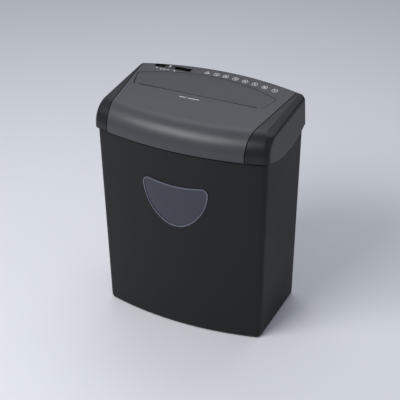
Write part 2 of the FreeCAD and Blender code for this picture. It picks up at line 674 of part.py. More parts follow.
def make_lower_housing():
    """The tub that closes the head from below and hangs in the bin."""
    tub = rounded_block("tub_outer", ("tub_half_width",) * 2, ("tub_half_depth",) * 2,
                        ("tub_z", "flange_z"), "tub_corner")
    hollow = rounded_block("tub_hollow", ("tub_half_width - tub_wall",) * 2,
                           ("tub_half_depth - tub_wall",) * 2, ("tub_top", "flange_z + 1"),
                           "tub_corner - tub_wall")
    flange_form = bowed_block("flange_block", ("flange_half_width",) * 2,
                              ("flange_half_depth",) * 2, ("bin_height", "flange_z"))
    flange = rounded("flange_form", flange_form, size("bin_corner - rebate_depth"),
                     lambda edge: abs(edge.BoundBox.ZLength - size("flange_thick")) < 0.01
                     and edge.BoundBox.XLength < 0.01 and edge.BoundBox.YLength < 0.01)
    pocket = box("interlock_pocket", ("0 - interlock_x - 8", "8 - interlock_x"),
                 ("interlock_y - 10", "tub_half_depth - 1"), ("tub_z", "flange_z"))
    pocket_hollow = box("pocket_hollow", ("0 - interlock_x - 6", "6 - interlock_x"),
                        ("interlock_y - 7.5", "rim_half_depth"), ("tub_z - 1", "bin_height"))
    pocket_in = common("pocket_in_tub", pocket, rounded_block(
        "pocket_trim", ("tub_half_width",) * 2, ("tub_half_depth",) * 2,
        ("tub_z", "flange_z + 2"), "tub_corner"))
    columns = []
    bores = []
    spots = [(f"{a}boss_{end}_x", f"{b}boss_y") for a in ("0 - ", "")
             for b, end in (("0 - ", "front"), ("", "back"))]
    spots += [("0", "0 - boss_middle"), ("0", "boss_middle")]
    for number, (x, y) in enumerate(spots):
        columns.append(rod(f"column_{number}", "z", "tub_top - 1", "flange_z", "boss_radius", x=x, y=y))
        bores.append(rod(f"column_bore_{number}", "z", "tub_z - 1", "flange_z + 1", "screw_radius",
                         x=x, y=y))
        bores.append(rod(f"column_well_{number}", "z", "tub_z - 1", "bin_height - 6",
                         "screw_head_radius - 0.4", x=x, y=y))
    guides = []
    for number, x in enumerate(("board_start", "board_start + board_length")):
        guides.append(box(f"board_guide_{number}", (f"{x} - 2.5", f"{x} + 2.5"),
                          ("board_back - 3", "board_back + board_thick + 3"),
                          ("tub_top - 1", "tub_top + board_height - 8")))
    outlet = box("shred_outlet", ("slot_left + outlet_margin", "slot_right - outlet_margin"),
                 ("front_shaft_y - 30", "rear_shaft_y + 30"), ("tub_z - 1", "tub_top + 1"))
    board = box("board_slot", ("board_start", "board_start + board_length"),
                ("board_back", "board_back + board_thick"), ("tub_top + 2", "flange_z"))
    plunger = rod("plunger_hole", "z", "bin_height - 40", "flange_z + 1",
                  "plunger_radius + plunger_gap", x="0 - interlock_x", y="interlock_y")
    above = rounded_block("above_flange", ("tub_half_width - tub_wall",) * 2,
                          ("tub_half_depth - tub_wall",) * 2, ("flange_z", "flange_z + 30"),
                          "tub_corner - tub_wall")
    walls = cut("tub_walls", fuse("tub_solid", tub, flange), hollow)
    inside = fuse("tub_inside", walls, pocket_in, *columns, *guides)
    node(cut("tub_finished", inside, pocket_hollow, outlet, board, plunger, above, *bores),
         "lower_housing")
    screws = []
    for number, (x, y) in enumerate(spots):
        shank = rod(f"cover_shank_{number}", "z", "bin_height - 6", "bin_height + 15",
                    "screw_radius", x=x, y=y)
        head = rod(f"cover_head_{number}", "z", "bin_height - 6 - screw_head", "bin_height - 6",
                   "screw_head_radius - 0.5", x=x, y=y)
        screws.append(fuse(f"cover_screw_{number}", shank, head))
    node(group("cover_screw_group", *screws), "cover_screws")


# ------------------------------------------------------------------ cutter block
SHAFTS = {"front": "front_shaft_y", "rear": "rear_shaft_y"}


def gear_places():
    """Y and Z of the motor, first and second gear axes, found from the centre distances."""
    front = (size("front_shaft_y"), size("shaft_z"))
    reach = size("output_module * (output_teeth + pinion_teeth) / 2")
    angle = math.radians(size("second_gear_angle"))
    second = (front[0] + reach * math.cos(angle), front[1] + reach * math.sin(angle))
    motor = (size("motor_y"), size("shaft_z"))
    first_reach = size("second_module * (second_teeth + pinion_teeth) / 2")
    motor_reach = size("first_module * (first_teeth + pinion_teeth) / 2")
    dy, dz = motor[0] - second[0], motor[1] - second[1]
    span = math.hypot(dy, dz)
    along = (first_reach ** 2 - motor_reach ** 2 + span ** 2) / (2 * span)
    off = math.sqrt(first_reach ** 2 - along ** 2)
    first = (second[0] + (along * dy + off * dz) / span, second[1] + (along * dz - off * dy) / span)
    return {"front": front, "second": second, "motor": motor, "first": first}


def tie_places():
    spots = []
    for y in ("nip_plane - tie_span", "nip_plane + tie_span"):
        for z in ("shaft_z - tie_low", "shaft_z + tie_high"):
            spots.append((y, z))
    return spots


POSTS = (("motor_y + 18.5", "shaft_z - 19.5"), ("nip_plane + 12", "shaft_z + 32"),
         ("nip_plane + 16", "shaft_z - 20"))


def make_frame():
    spots = gear_places()
    bush_r = "journal_radius + running_gap + bush_wall"
    shaft_holes = [(y, "shaft_z", bush_r) for y in SHAFTS.values()]
    tie_holes = [(y, z, "screw_radius") for y, z in tie_places()]
    post_holes = [(y, z, "screw_radius") for y, z in POSTS]
    top = "shaft_z + 40"
    back = "nip_plane + 47"
    left = [("nip_plane - 47", "plate_z"), (back, "plate_z"), (back, "shaft_z + 26"),
            ("nip_plane - 47", "shaft_z + 26")]
    node(padded("left_frame_plate", "YZ_Plane", "left_plate", "plate_thick", left,
                shaft_holes + tie_holes), "left_frame_plate")
    pins = [(str(round(spots[name][0], 6)), str(round(spots[name][1], 6)), "pin_radius")
            for name in ("first", "second")]
    front = "motor_y - 21"
    right = [(front, "plate_z"), (back, "plate_z"), (back, "shaft_z + 26"),
             ("nip_plane + 22", top), (front, top)]
    drill = [("motor_y", "shaft_z", "motor_shaft_radius + 2.5")]
    drill += [("motor_y - 10", "shaft_z", "small_screw_radius"),
              ("motor_y + 10", "shaft_z", "small_screw_radius")]
    node(padded("right_frame_plate", "YZ_Plane", "right_plate", "plate_thick", right,
                shaft_holes + tie_holes + post_holes + pins + drill), "right_frame_plate")
    outer = [("motor_y - 4", "shaft_z - 26"), ("nip_plane + 26", "shaft_z - 26"),
             ("nip_plane + 26", top), ("motor_y - 4", top)]
    node(padded("outer_gear_plate", "YZ_Plane", "outer_plate", "plate_thick", outer,
                [("front_shaft_y", "shaft_z", bush_r)] + post_holes + pins), "outer_gear_plate")

    ties = []
    screws = []
    for number, (y, z) in enumerate(tie_places()):
        bar = rod(f"tie_bar_{number}", "x", "left_plate + plate_thick", "right_plate", "tie_radius",
                  y=y, z=z)
        bores = [rod(f"tie_tap_{number}_{end}", "x", a, b, "screw_radius", y=y, z=z)
                 for end, (a, b) in enumerate((("left_plate", "left_plate + plate_thick + 10"),
                                               ("right_plate - 10", "right_plate + 1")))]
        ties.append(cut(f"tie_rod_{number}", bar, *bores))
        screws.append(plate_screw(f"tie_screw_left_{number}", "left_plate", -1, y, z))
        screws.append(plate_screw(f"tie_screw_right_{number}", "right_plate + plate_thick", 1, y, z))
    node(group("tie_rod_group", *ties), "tie_rods")
    posts = []
    for number, (y, z) in enumerate(POSTS):
        posts.append(tube(f"gear_post_{number}", "x", "right_plate + plate_thick", "outer_plate",
                          "tie_radius", "screw_radius", y=y, z=z))
        screws.append(plate_screw(f"post_screw_in_{number}", "right_plate", -1, y, z))
        screws.append(plate_screw(f"post_screw_out_{number}", "outer_plate + plate_thick", 1, y, z))
    node(group("gear_post_group", *posts), "gear_plate_posts")
    node(group("frame_screw_group", *screws), "frame_screws")
    make_bushes(bush_r)
    make_combs()
    make_rubber_mounts()


def plate_screw(name, face, out, y, z):
    """A pan-head screw whose head sits on a plate's face and whose shank goes inwards."""
    length = "plate_thick + 8"
    if out > 0:
        shank = rod(name + "_shank", "x", f"{face} - ({length})", face, "screw_radius", y=y, z=z)
        head = rod(name + "_head", "x", face, f"{face} + screw_head", "screw_head_radius", y=y, z=z)
    else:
        shank = rod(name + "_shank", "x", face, f"{face} + {length}", "screw_radius", y=y, z=z)
        head = rod(name + "_head", "x", f"{face} - screw_head", face, "screw_head_radius", y=y, z=z)
    return fuse(name, shank, head)


def make_bushes(bush_r):
    bushes = []
    seats = [("left_plate", -1, y) for y in SHAFTS.values()]
    seats += [("right_plate", 1, y) for y in SHAFTS.values()]
    seats += [("outer_plate", 1, "front_shaft_y")]
    for number, (plate, side, y) in enumerate(seats):
        inner_face = f"{plate} + plate_thick" if side < 0 else plate
        far = f"{plate} - bush_proud" if side < 0 else f"{plate} + plate_thick + bush_proud - 1"
        span = (far, inner_face) if side < 0 else (inner_face, far)
        flange = (inner_face, f"{inner_face} + bush_flange_thick")
        if side > 0:
            flange = (f"{inner_face} - bush_flange_thick", inner_face)
        if plate == "outer_plate":
            span = (plate, "outer_plate + plate_thick")
        sleeve = rod(f"bush_sleeve_{number}", "x", *span, bush_r, y=y, z="shaft_z")
        collar = rod(f"bush_collar_{number}", "x", *flange, f"{bush_r} + bush_flange", y=y,
                     z="shaft_z")
        hole = rod(f"bush_hole_{number}", "x", f"{plate} - 10", f"{plate} + 10",
                   "journal_radius + running_gap", y=y, z="shaft_z")
        bushes.append(cut(f"bush_{number}", fuse(f"bush_body_{number}", sleeve, collar), hole))
    node(group("bush_group", *bushes), "shaft_bushes")


def disc_starts(side):
    """X of the left face of each cutter disc; the rear discs run in the front discs' gaps."""
    pitch = size("cutter_pitch")
    first = size("slot_left") + 1 + (pitch / 2 if side == "rear" else 0)
    count = int((size("slot_right - slot_left") - 2) // pitch)
    return [first + pitch * i for i in range(count)]


def make_combs():
    for side, sign in (("front", -1), ("rear", 1)):
        axis_y = size(SHAFTS[side])
        thick = size("comb_thick")
        face = axis_y + sign * (size("disc_radius + comb_gap") + thick)
        half = size("comb_half_height")
        z = size("shaft_z")
        x0, x1 = size("left_plate + plate_thick"), size("right_plate")
        plate_y = sorted((face, face - sign * thick))
        plate = Part.makeBox(x1 - x0, thick, 2 * half, Vector(x0, plate_y[0], z - half))
        gap = size("cutter_pitch - disc_thick")
        width = gap - 2 * 0.4
        finger_half = size("finger_half_height")
        fingers = []
        for start in disc_starts(side):
            x = start + size("disc_thick") + 0.4
            ends = sorted((face - sign * thick, axis_y))
            fingers.append(Part.makeBox(width, ends[1] - ends[0], 2 * finger_half,
                                        Vector(x, ends[0], z - finger_half)))
        clear = Part.makeCylinder(size("spacer_radius + comb_gap"), x1 - x0,
                                  Vector(x0, axis_y, z), Vector(1, 0, 0))
        comb = plate.fuse([finger.cut(clear) for finger in fingers])
        node(shaped(side + "_comb_shape", comb.removeSplitter()), side + "_stripper_comb")


def make_rubber_mounts():
    mounts = []
    half = "mount_size / 2"
    for plate, y in (("left_plate", "nip_plane - 38"), ("left_plate", "nip_plane + 38"),
                     ("right_plate", "motor_y - 12"), ("right_plate", "nip_plane + 38")):
        number = len(mounts)
        middle = f"{plate} + plate_thick / 2"
        block = box(f"mount_block_{number}", (f"{middle} - 6", f"{middle} + 6"),
                    (f"{y} - {half}", f"{y} + {half}"), ("tub_top", "tub_top + mount_height"))
        slot = box(f"mount_slot_{number}", (plate, f"{plate} + plate_thick"),
                   (f"{y} - mount_size", f"{y} + mount_size"), ("plate_z", "plate_z + 20"))
        mounts.append(cut(f"mount_{number}", block, slot))
    node(group("mount_group", *mounts), "rubber_mounts")


def hexagon(flats, x0, x1, y, z, grow=0):
    radius = (flats / 2 + grow) / math.cos(math.pi / 6)
    points = [Vector(x0, y + radius * math.cos(k * math.pi / 3), z + radius * math.sin(k * math.pi / 3))
              for k in range(7)]
    return Part.Face(Part.makePolygon(points)).extrude(Vector(x1 - x0, 0, 0))


def make_cutters():
    z = size("shaft_z")
    thick = size("disc_thick")
    start, end = size("rotor_start"), size("rotor_end")
    flats = size("shaft_flats")
    for side, axis in SHAFTS.items():
        y = size(axis)
        bar = hexagon(flats, start, end, y, z)
        left = size("sync_x") - 2
        right = size("outer_plate + plate_thick") if side == "front" else size("right_plate") + 8
        journal = Part.makeCylinder(size("journal_radius"), right - left, Vector(left, y, z),
                                    Vector(1, 0, 0))
        node(shaped(side + "_shaft_bar", bar.fuse(journal).removeSplitter()), side + "_cutter_shaft")
        starts = disc_starts(side)
        hand = 1 if side == "front" else -1
        discs = [turned_disc(disc_blank(), hand * n * 360 / len(starts), x, y, z)
                 for n, x in enumerate(starts)]
        node(shaped(side + "_disc_set", Part.Compound(discs)), side + "_cutter_discs")
        edges = [start] + [value for x in starts for value in (x, x + thick)] + [end]
        spacers = []
        for x0, x1 in zip(edges[0::2], edges[1::2]):
            ring = Part.makeCylinder(size("spacer_radius"), x1 - x0, Vector(x0, y, z), Vector(1, 0, 0))
            spacers.append(ring.cut(hexagon(flats, x0 - 1, x1 + 1, y, z)))
        node(shaped(side + "_spacer_set", Part.Compound(spacers)), side + "_cutter_spacers")


def disc_blank(teeth=6):
    """Outline of a cutter disc about the X axis, before its bore."""
    tip = size("disc_radius")
    steps = ((0, tip), (5, tip - 1.3), (18, tip - 1.6), (32, tip - 1.6), (46, tip - 1.5),
             (54, tip - 3.1), (58, tip - 2.6))
    points = []
    for tooth in range(teeth):
        for degrees, radius in steps:
            angle = math.radians(degrees + tooth * 360 / teeth)
            points.append(Vector(0, radius * math.cos(angle), radius * math.sin(angle)))
    return Part.Face(Part.makePolygon(points + points[:1])).extrude(Vector(size("disc_thick"), 0, 0))


def turned_disc(blank, degrees, x, y, z):
    """A disc turned about its axis; its hexagonal bore stays in line with the shaft."""
    blank.rotate(Vector(), Vector(1, 0, 0), degrees)
    blank.translate(Vector(x, y, z))
    return blank.cut(hexagon(size("shaft_flats"), x - 1, x + size("disc_thick") + 1, y, z))


# ------------------------------------------------------------------ gears and motor
def gear(teeth, module, phase, x0, x1, centre):
    """A spur gear along X with flat-faceted 25 degree involute flanks; phase is the angle of one
    tooth's middle."""
    pressure = math.radians(25)
    pitch_r = teeth * module / 2
    base_r = pitch_r * math.cos(pressure)
    tip_r, root_r = pitch_r + module, pitch_r - 1.2 * module
    half_thick = (math.pi * module / 2 - size("backlash")) / (2 * pitch_r)

    def spread(radius):
        """Half the tooth's angle at a radius."""
        at = math.acos(min(1, base_r / radius))
        roll = math.tan(at) - at
        pitch_roll = math.tan(pressure) - pressure
        return half_thick + pitch_roll - roll

    flank = [max(root_r, base_r) * 1.0001, (max(root_r, base_r) + pitch_r) / 2, pitch_r,
             (pitch_r + tip_r) / 2, tip_r]
    points = []
    for tooth in range(int(teeth)):
        middle = phase + tooth * 2 * math.pi / teeth
        root_half = spread(flank[0])
        trail = [(root_r, middle - root_half)] + [(r, middle - spread(r)) for r in flank]
        trail += [(r, middle + spread(r)) for r in reversed(flank)] + [(root_r, middle + root_half)]
        points += [Vector(x0, centre[0] + r * math.cos(a), centre[1] + r * math.sin(a))
                   for r, a in trail]
    return Part.Face(Part.makePolygon(points + points[:1])).extrude(Vector(x1 - x0, 0, 0))


def meshed(driver_phase, driver_teeth, teeth, start, end):
    """The phase of a gear that meshes with a driver whose centre is start."""
    line = math.atan2(end[1] - start[1], end[0] - start[0])
    return line + math.pi + math.pi / teeth - (driver_phase - line) * driver_teeth / teeth


def bored(shape, radius, centre):
    hole = Part.makeCylinder(radius, 2 * BIG, Vector(-BIG, centre[0], centre[1]), Vector(1, 0, 0))
    return shape.cut(hole)


def make_gears():
    spots = gear_places()
    front = spots["front"]
    rear = (size("rear_shaft_y"), size("shaft_z"))
    journal = size("journal_radius")
    sync_x, sync_width = size("sync_x"), size("sync_width")
    teeth, module = size("sync_teeth"), size("sync_module")
    for label, phase, centre in (("front_sync_gear", 0, front),
                                 ("rear_sync_gear", meshed(0, teeth, teeth, front, rear), rear)):
        wheel = gear(teeth, module, phase, sync_x, sync_x + sync_width, centre)
        node(shaped(label + "_shape", bored(wheel, journal, centre)), label)
    pinion = size("pinion_teeth")
    out_x, out_end = size("output_x"), size("output_x + output_width")
    output = gear(size("output_teeth"), size("output_module"), 0, out_x, out_end, front)
    node(shaped("output_gear_shape", bored(output, journal, front)), "output_gear")
    pin_bore = size("pin_radius + running_gap")
    second_x, width = size("second_x"), size("gear_width")
    wheel = gear(size("second_teeth"), size("second_module"), 0, second_x, second_x + width,
                 spots["second"])
    small = gear(pinion, size("output_module"),
                 meshed(0, size("output_teeth"), pinion, front, spots["second"]),
                 second_x + width, out_end, spots["second"])
    node(shaped("second_gear_shape", bored(wheel.fuse(small), pin_bore, spots["second"])),
         "second_reduction_gear")
    first_x = size("first_x")
    wheel = gear(size("first_teeth"), size("first_module"), 0, first_x, first_x + width,
                 spots["first"])
    small = gear(pinion, size("second_module"),
                 meshed(0, size("second_teeth"), pinion, spots["second"], spots["first"]),
                 first_x + width, second_x + width, spots["first"])
    node(shaped("first_gear_shape", bored(wheel.fuse(small), pin_bore, spots["first"])),
         "first_reduction_gear")
    small = gear(pinion, size("first_module"),
                 meshed(0, size("first_teeth"), pinion, spots["first"], spots["motor"]),
                 first_x - 0.5, first_x + width, spots["motor"])
    node(shaped("motor_pinion_shape", bored(small, size("motor_shaft_radius"), spots["motor"])),
         "motor_pinion")
    pins = []
    for name in ("first", "second"):
        y, z = spots[name]
        pins.append(Part.makeCylinder(size("pin_radius"), size("outer_plate + plate_thick - right_plate"),
                                      Vector(size("right_plate"), y, z), Vector(1, 0, 0)))
    node(shaped("gear_pin_set", Part.Compound(pins)), "gear_pins")


def make_motor():
    at = {"y": "motor_y", "z": "shaft_z"}
    can_start = "right_plate - motor_length"
    can = rod("can_outer", "x", can_start, "right_plate", "motor_radius", **at)
    hollow = rod("can_hollow", "x", f"{can_start} - 1", "right_plate - 4", "motor_radius - motor_wall",
                 **at)
    shaft_hole = rod("can_shaft_hole", "x", "right_plate - 5", "right_plate + 1",
                     "motor_shaft_radius + running_gap", **at)
    taps = [rod(f"can_tap_{n}", "x", "right_plate - 5", "right_plate + 1", "small_screw_radius",
                y=f"motor_y {sign} 10", z="shaft_z") for n, sign in enumerate("-+")]
    node(cut("can_finished", can, hollow, shaft_hole, *taps), "motor_can")
    bell = rod("bell_outer", "x", f"{can_start} - bell_length", can_start, "motor_radius", **at)
    seat = rod("bell_seat", "x", f"{can_start} - bell_length + 3", f"{can_start} + 1",
               "motor_radius - 4", **at)
    bearing = rod("bell_bearing", "x", f"{can_start} - bell_length + 1", f"{can_start} + 1",
                  "motor_shaft_radius + running_gap", **at)
    node(cut("bell_finished", bell, seat, bearing), "motor_end_bell")
    magnets = tube("magnet_ring", "x", f"{can_start} + 8", "right_plate - 10",
                   "motor_radius - motor_wall", "armature_radius + 0.8", **at)
    split = box("magnet_split", (can_start, "right_plate"), ("motor_y - 6", "motor_y + 6"),
                ("shaft_z - 40", "shaft_z + 40"))
    node(cut("magnet_pair", magnets, split), "motor_magnets")
    shaft = rod("rotor_shaft", "x", f"{can_start} - bell_length + 2", "first_x + gear_width + 1",
                "motor_shaft_radius", **at)
    node(shaft, "motor_shaft")
    core = tube("armature_core", "x", f"{can_start} + 10", "right_plate - 12", "armature_radius",
                "motor_shaft_radius", **at)
    slots = []
    for number in range(8):
        slot = box(f"armature_slot_{number}", (f"{can_start} + 9", "right_plate - 11"), ("0", "6"),
                   ("0 - 1.2", "1.2"))
        angle = math.radians(number * 45 + 22.5)
        slot.Placement.Rotation = Rotation(Vector(1, 0, 0), number * 45 + 22.5)
        reach = size("armature_radius") - 5
        low = 1.2
        slot.setExpression("Placement.Base.y", linked(
            f"motor_y + {reach * math.cos(angle) + low * math.sin(angle):.6f}"))
        slot.setExpression("Placement.Base.z", linked(
            f"shaft_z + {reach * math.sin(angle) - low * math.cos(angle):.6f}"))
        slots.append(slot)
    node(cut("armature_finished", core, *slots), "motor_armature")
    node(tube("commutator_ring", "x", f"{can_start} + 1", f"{can_start} + 9", "7",
              "motor_shaft_radius", **at), "motor_commutator")
    screws = []
    for number, sign in enumerate("-+"):
        y = f"motor_y {sign} 10"
        shank = rod(f"motor_shank_{number}", "x", "right_plate - 3.5", "right_plate + plate_thick",
                    "small_screw_radius", y=y, z="shaft_z")
        head = rod(f"motor_head_{number}", "x", "right_plate + plate_thick",
                   "right_plate + plate_thick + 1.8", "2.8", y=y, z="shaft_z")
        screws.append(fuse(f"motor_screw_{number}", shank, head))
    node(group("motor_screw_group", *screws), "motor_screws")


# ------------------------------------------------------------------ controls
def make_board():
    outline = [("board_start", "tub_top + 2"), ("board_start + board_length", "tub_top + 2"),
               ("board_start + board_length", "tub_top + 2 + board_height"),
               ("board_start", "tub_top + 2 + board_height")]
    node(padded("control_board", "XZ_Plane", "0 - board_back - board_thick", "board_thick",
                outline), "control_board")
    front = "board_back"
    parts = [
        box("relay", ("board_start + 8", "board_start + 27"), (f"{front} - 15", front),
            ("tub_top + 8", "tub_top + 23")),
        box("transformer", ("board_start + 34", "board_start + 56"), (f"{front} - 17", front),
            ("tub_top + 8", "tub_top + 26")),
        box("motor_socket", ("board_start + 60", "board_start + 74"), (f"{front} - 9", front),
            ("tub_top + 8", "tub_top + 15")),
        box("switch_socket", ("board_start + 60", "board_start + 72"), (f"{front} - 9", front),
            ("tub_top + 28", "tub_top + 35")),
        rod("capacitor", "y", f"{front} - 16", front, "5", x="board_start + 16", z="tub_top + 33"),
        rod("varistor", "y", f"{front} - 6", front, "4", x="board_start + 50", z="tub_top + 35"),
    ]
    node(group("board_part_group", *parts), "board_components")


def make_mode_switch(outer):
    """Tray in the top cover, its slide knob, and the switch below."""
    fall = math.tan(math.radians(size("top_fall")))
    width = size("tray_width")
    middle = size("tray_middle")
    top = size("top_z")
    face_z = top - (size("head_half_depth") - middle) * fall
    floor_z = face_z - size("tray_depth")
    start, length, wall = size("tray_start"), size("tray_length"), size("tray_wall")
    low = floor_z - wall
    gap = 0.2
    block = Part.makeBox(length - 2 * gap, width - 2 * gap, 20, Vector(start + gap,
                         middle - width / 2 + gap, low)).common(outer)
    flange = Part.makeBox(length + 6, width + 4, wall, Vector(start - 3, middle - width / 2 - 2, low))
    flange = flange.common(head_form(size("head_wall") + 0.2))
    hollow = Part.makeBox(length - 2 * gap - 2 * wall, width - 2 * gap - 2 * wall, 20,
                          Vector(start + gap + wall, middle - width / 2 + gap + wall, floor_z))
    travel = size("knob_travel")
    knob_x = size("knob_x")
    stem_half = 2.5
    slot = Part.makeBox(2 * (travel + stem_half) + 1, 4, 10,
                        Vector(knob_x - travel - stem_half - 0.5, middle - 2, low - 4))
    node(shaped("tray_shape", block.fuse(flange).cut(hollow).cut(slot)), "switch_tray")

    half = size("knob_length") / 2
    knob_gap = size("knob_gap")
    inner = width - 2 * gap - 2 * wall - 2 * knob_gap
    base = Part.makeBox(2 * half, inner, size("tray_depth") - 0.1, Vector(knob_x - half,
                        middle - inner / 2, floor_z + knob_gap))
    tops = [e for e in base.Edges if e.BoundBox.ZMin > floor_z + 2 and e.BoundBox.ZLength < 0.01]
    base = base.makeFillet(1.2, tops)
    stem = Part.makeBox(2 * stem_half, 3, 10, Vector(knob_x - stem_half, middle - 1.5, low - 4))
    rib = Part.makeBox(2.4, inner - 2, 1.4, Vector(knob_x - 1.2, middle - inner / 2 + 1,
                                                   floor_z + knob_gap + size("tray_depth") - 0.4))
    node(shaped("knob_shape", base.fuse([stem, rib])), "slider_knob")
    body = Part.makeBox(2 * travel + 14, 10, 12, Vector(knob_x - travel - 7, middle - 5, low - 12))
    body = body.cut(Part.makeBox(2 * (travel + stem_half) + 1, 4, 6,
                                 Vector(knob_x - travel - stem_half - 0.5, middle - 2, low - 6)))
    terminals = [Part.makeBox(1, 3, 5, Vector(knob_x + 6 * n - 0.5, middle - 1.5, low - 17))
                 for n in (-1, 0, 1)]
    node(shaped("switch_shape", body.fuse(terminals)), "mode_switch_body")


def make_interlock():
    """Plunger that the bin's tab pushes up, with its spring and microswitch."""
    at = {"x": "0 - interlock_x", "y": "interlock_y"}
    pin = rod("plunger_pin", "z", "bin_height - 2 + plunger_gap", "flange_z + 15", "plunger_radius - 0.5",
              **at)
    foot = rod("plunger_foot", "z", "bin_height - 2 + plunger_gap", "flange_z + 4", "plunger_radius", **at)
    collar = rod("plunger_collar", "z", "flange_z + 4", "flange_z + 6", "plunger_radius + 1.5", **at)
    node(fuse("plunger_shape", pin, foot, collar), "interlock_plunger")
    rise, wire = size("spring_rise"), size("spring_wire")
    radius = size("plunger_radius") + 0.6
    low = size("flange_z + 6") + wire + 0.1
    helix = Part.makeHelix(rise / SPRING_TURNS, rise, radius)
    corners = [Vector(radius + wire * math.cos(math.tau * n / WIRE_SIDES), 0,
                      wire * math.sin(math.tau * n / WIRE_SIDES)) for n in range(WIRE_SIDES)]
    profile = Part.makePolygon(corners + corners[:1])
    coil = Part.Wire(helix.Edges).makePipeShell([profile], True, True)
    spot = Vector(-size("interlock_x"), size("interlock_y"), low)
    node(shaped("spring_shape", coil, spot), "interlock_spring")
    bracket_z = size("flange_z + 14.5")
    body = Part.makeBox(20, 7, 9, Vector(-size("interlock_x") - 10, size("interlock_y") - 3.5,
                                         bracket_z + 2))
    guide = Part.makeBox(14, 9, 2, Vector(-size("interlock_x") - 7, size("interlock_y") - 4.5,
                                          bracket_z))
    bore = Part.makeCylinder(size("plunger_radius - 0.5 + plunger_gap"), 3.5,
                             Vector(-size("interlock_x"), size("interlock_y"), bracket_z - 0.5))
    node(shaped("interlock_switch_shape", body.fuse(guide).cut(bore)), "interlock_switch")


def make_paper_lever():
    """Sprung finger across the slot, its hub on the throat's pin, and the switch behind it."""
    pin_y, pin_z = lever_axis()
    width = size("lever_width")
    x = -size("lever_x") - width / 2
    hub = Part.makeCylinder(3, width, Vector(x, pin_y, pin_z), Vector(1, 0, 0))
    tip_y = size("slot_front") + 0.8
    loop = [Vector(x, pin_y - 1, pin_z + 2.4), Vector(x, tip_y, pin_z - 7),
            Vector(x, tip_y, pin_z - 9), Vector(x, pin_y - 1, pin_z - 2.4)]
    finger = Part.Face(Part.makePolygon(loop + loop[:1])).extrude(Vector(width, 0, 0))
    tail = Part.makeBox(width, 7, 2, Vector(x, pin_y + 1.5, pin_z - 1))
    lever = hub.fuse([finger, tail])
    bore = Part.makeCylinder(size("lever_pin_radius + running_gap"), width + 2,
                             Vector(x - 1, pin_y, pin_z), Vector(1, 0, 0))
    node(shaped("lever_shape", lever.cut(bore)), "paper_sensor_lever")
    switch = Part.makeBox(20, 6.5, 10, Vector(x - 8.5, pin_y + 9, pin_z - 14))
    node(shaped("sensor_switch_shape", switch), "sensor_switch")


def make_gland(outer, inner):
    """Strain relief in the back wall: barrel, two collars and a tongue that fills the notch."""
    x, z = size("gland_x"), size("gland_z")
    radius, bore = size("gland_radius"), size("gland_bore")
    depth = size("head_half_depth")
    along = Vector(0, 1, 0)
    barrel = Part.makeCylinder(radius, 13, Vector(x, depth - 19, z), along)
    back = Part.makeCylinder(radius + 1.5, 3, Vector(x, depth - 6.5, z), along)
    inside = Part.makeCylinder(radius + 1.5, 2.5, Vector(x, depth - 17, z), along)
    tongue = Part.makeBox(2 * radius, 30, z - size("skirt_z"),
                          Vector(x - radius, depth - 24, size("skirt_z")))
    tongue = tongue.common(outer.cut(inner))
    gland = barrel.fuse([back, inside, tongue])
    hole = Part.makeCylinder(bore, 40, Vector(x, depth - 30, z), along)
    node(shaped("gland_shape", gland.cut(hole)), "cord_gland")


def write_parts():
    doc.recompute()
    for item in doc.Objects:
        if {"Invalid", "Error"} & set(item.State):
            raise SystemExit(f"{item.Label} failed: {item.State}")
    for item in NODES:
        if item.Shape.isNull() or not item.Shape.isValid():
            raise SystemExit(f"{item.Label} has no valid shape")
    os.makedirs("parts", exist_ok=True)
    for item in NODES:
        item.Shape.exportStep(f"parts/{item.Label}.step")
        print(item.Label, len(item.Shape.Solids), "solid(s)", round(item.Shape.Volume), "mm3")


def main():
    make_bin()
    make_window()
    outer, inner = make_head_shells()
    make_feed_throat(outer, inner)
    make_lower_housing()
    make_frame()
    make_cutters()
    make_gears()
    make_motor()
    make_board()
    make_mode_switch(outer)
    make_interlock()
    make_paper_lever()
    make_gland(outer, inner)
    write_parts()


main()
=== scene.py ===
"""Paper shredder: finishes, printed marks and trim around the packed model, with a plain studio."""

import math

import bmesh
import bpy
from mathutils import Matrix, Vector


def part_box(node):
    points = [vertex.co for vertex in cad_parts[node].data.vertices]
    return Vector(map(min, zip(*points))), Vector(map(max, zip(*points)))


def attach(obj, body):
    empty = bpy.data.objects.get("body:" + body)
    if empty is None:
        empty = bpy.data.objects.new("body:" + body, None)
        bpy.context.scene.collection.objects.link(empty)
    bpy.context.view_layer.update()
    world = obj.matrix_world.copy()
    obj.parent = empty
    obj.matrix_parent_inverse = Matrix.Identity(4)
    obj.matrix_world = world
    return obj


bl_info = {
    "name": "Paper Shredder",
    "version": (1, 0, 0),
    "blender": (4, 5, 0),
    "location": "View3D > Sidebar > Shredder",
    "description": "Finishes, printed marks and studio for the paper shredder",
    "category": "Object",
}

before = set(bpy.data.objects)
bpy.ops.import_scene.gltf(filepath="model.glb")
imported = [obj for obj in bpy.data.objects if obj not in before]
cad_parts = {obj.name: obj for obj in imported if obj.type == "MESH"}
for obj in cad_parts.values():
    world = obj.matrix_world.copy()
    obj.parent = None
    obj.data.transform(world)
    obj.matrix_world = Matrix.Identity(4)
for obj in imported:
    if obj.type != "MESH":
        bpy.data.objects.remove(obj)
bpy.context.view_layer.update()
MM = 0.001
DUST = (0.22, 0.22, 0.23)
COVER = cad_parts["top_cover"]
# the bin's front is bowed about an upright line behind it, and its face leans in downwards
BOW_CENTRE = 0.464
ROW_RADIUS = 0.56  # the icon row's bow
FACE_RADIUS = BOW_CENTRE + 0.104
FACE_TOP = 0.366
FACE_LEAN = 0.0035 / FACE_TOP


# ---------------------------------------------------------------- sizes and colours


def colour(name, description, value):
    return bpy.props.FloatVectorProperty(
        name=name, description=description, default=value, size=3, subtype="COLOR", min=0, max=1
    )


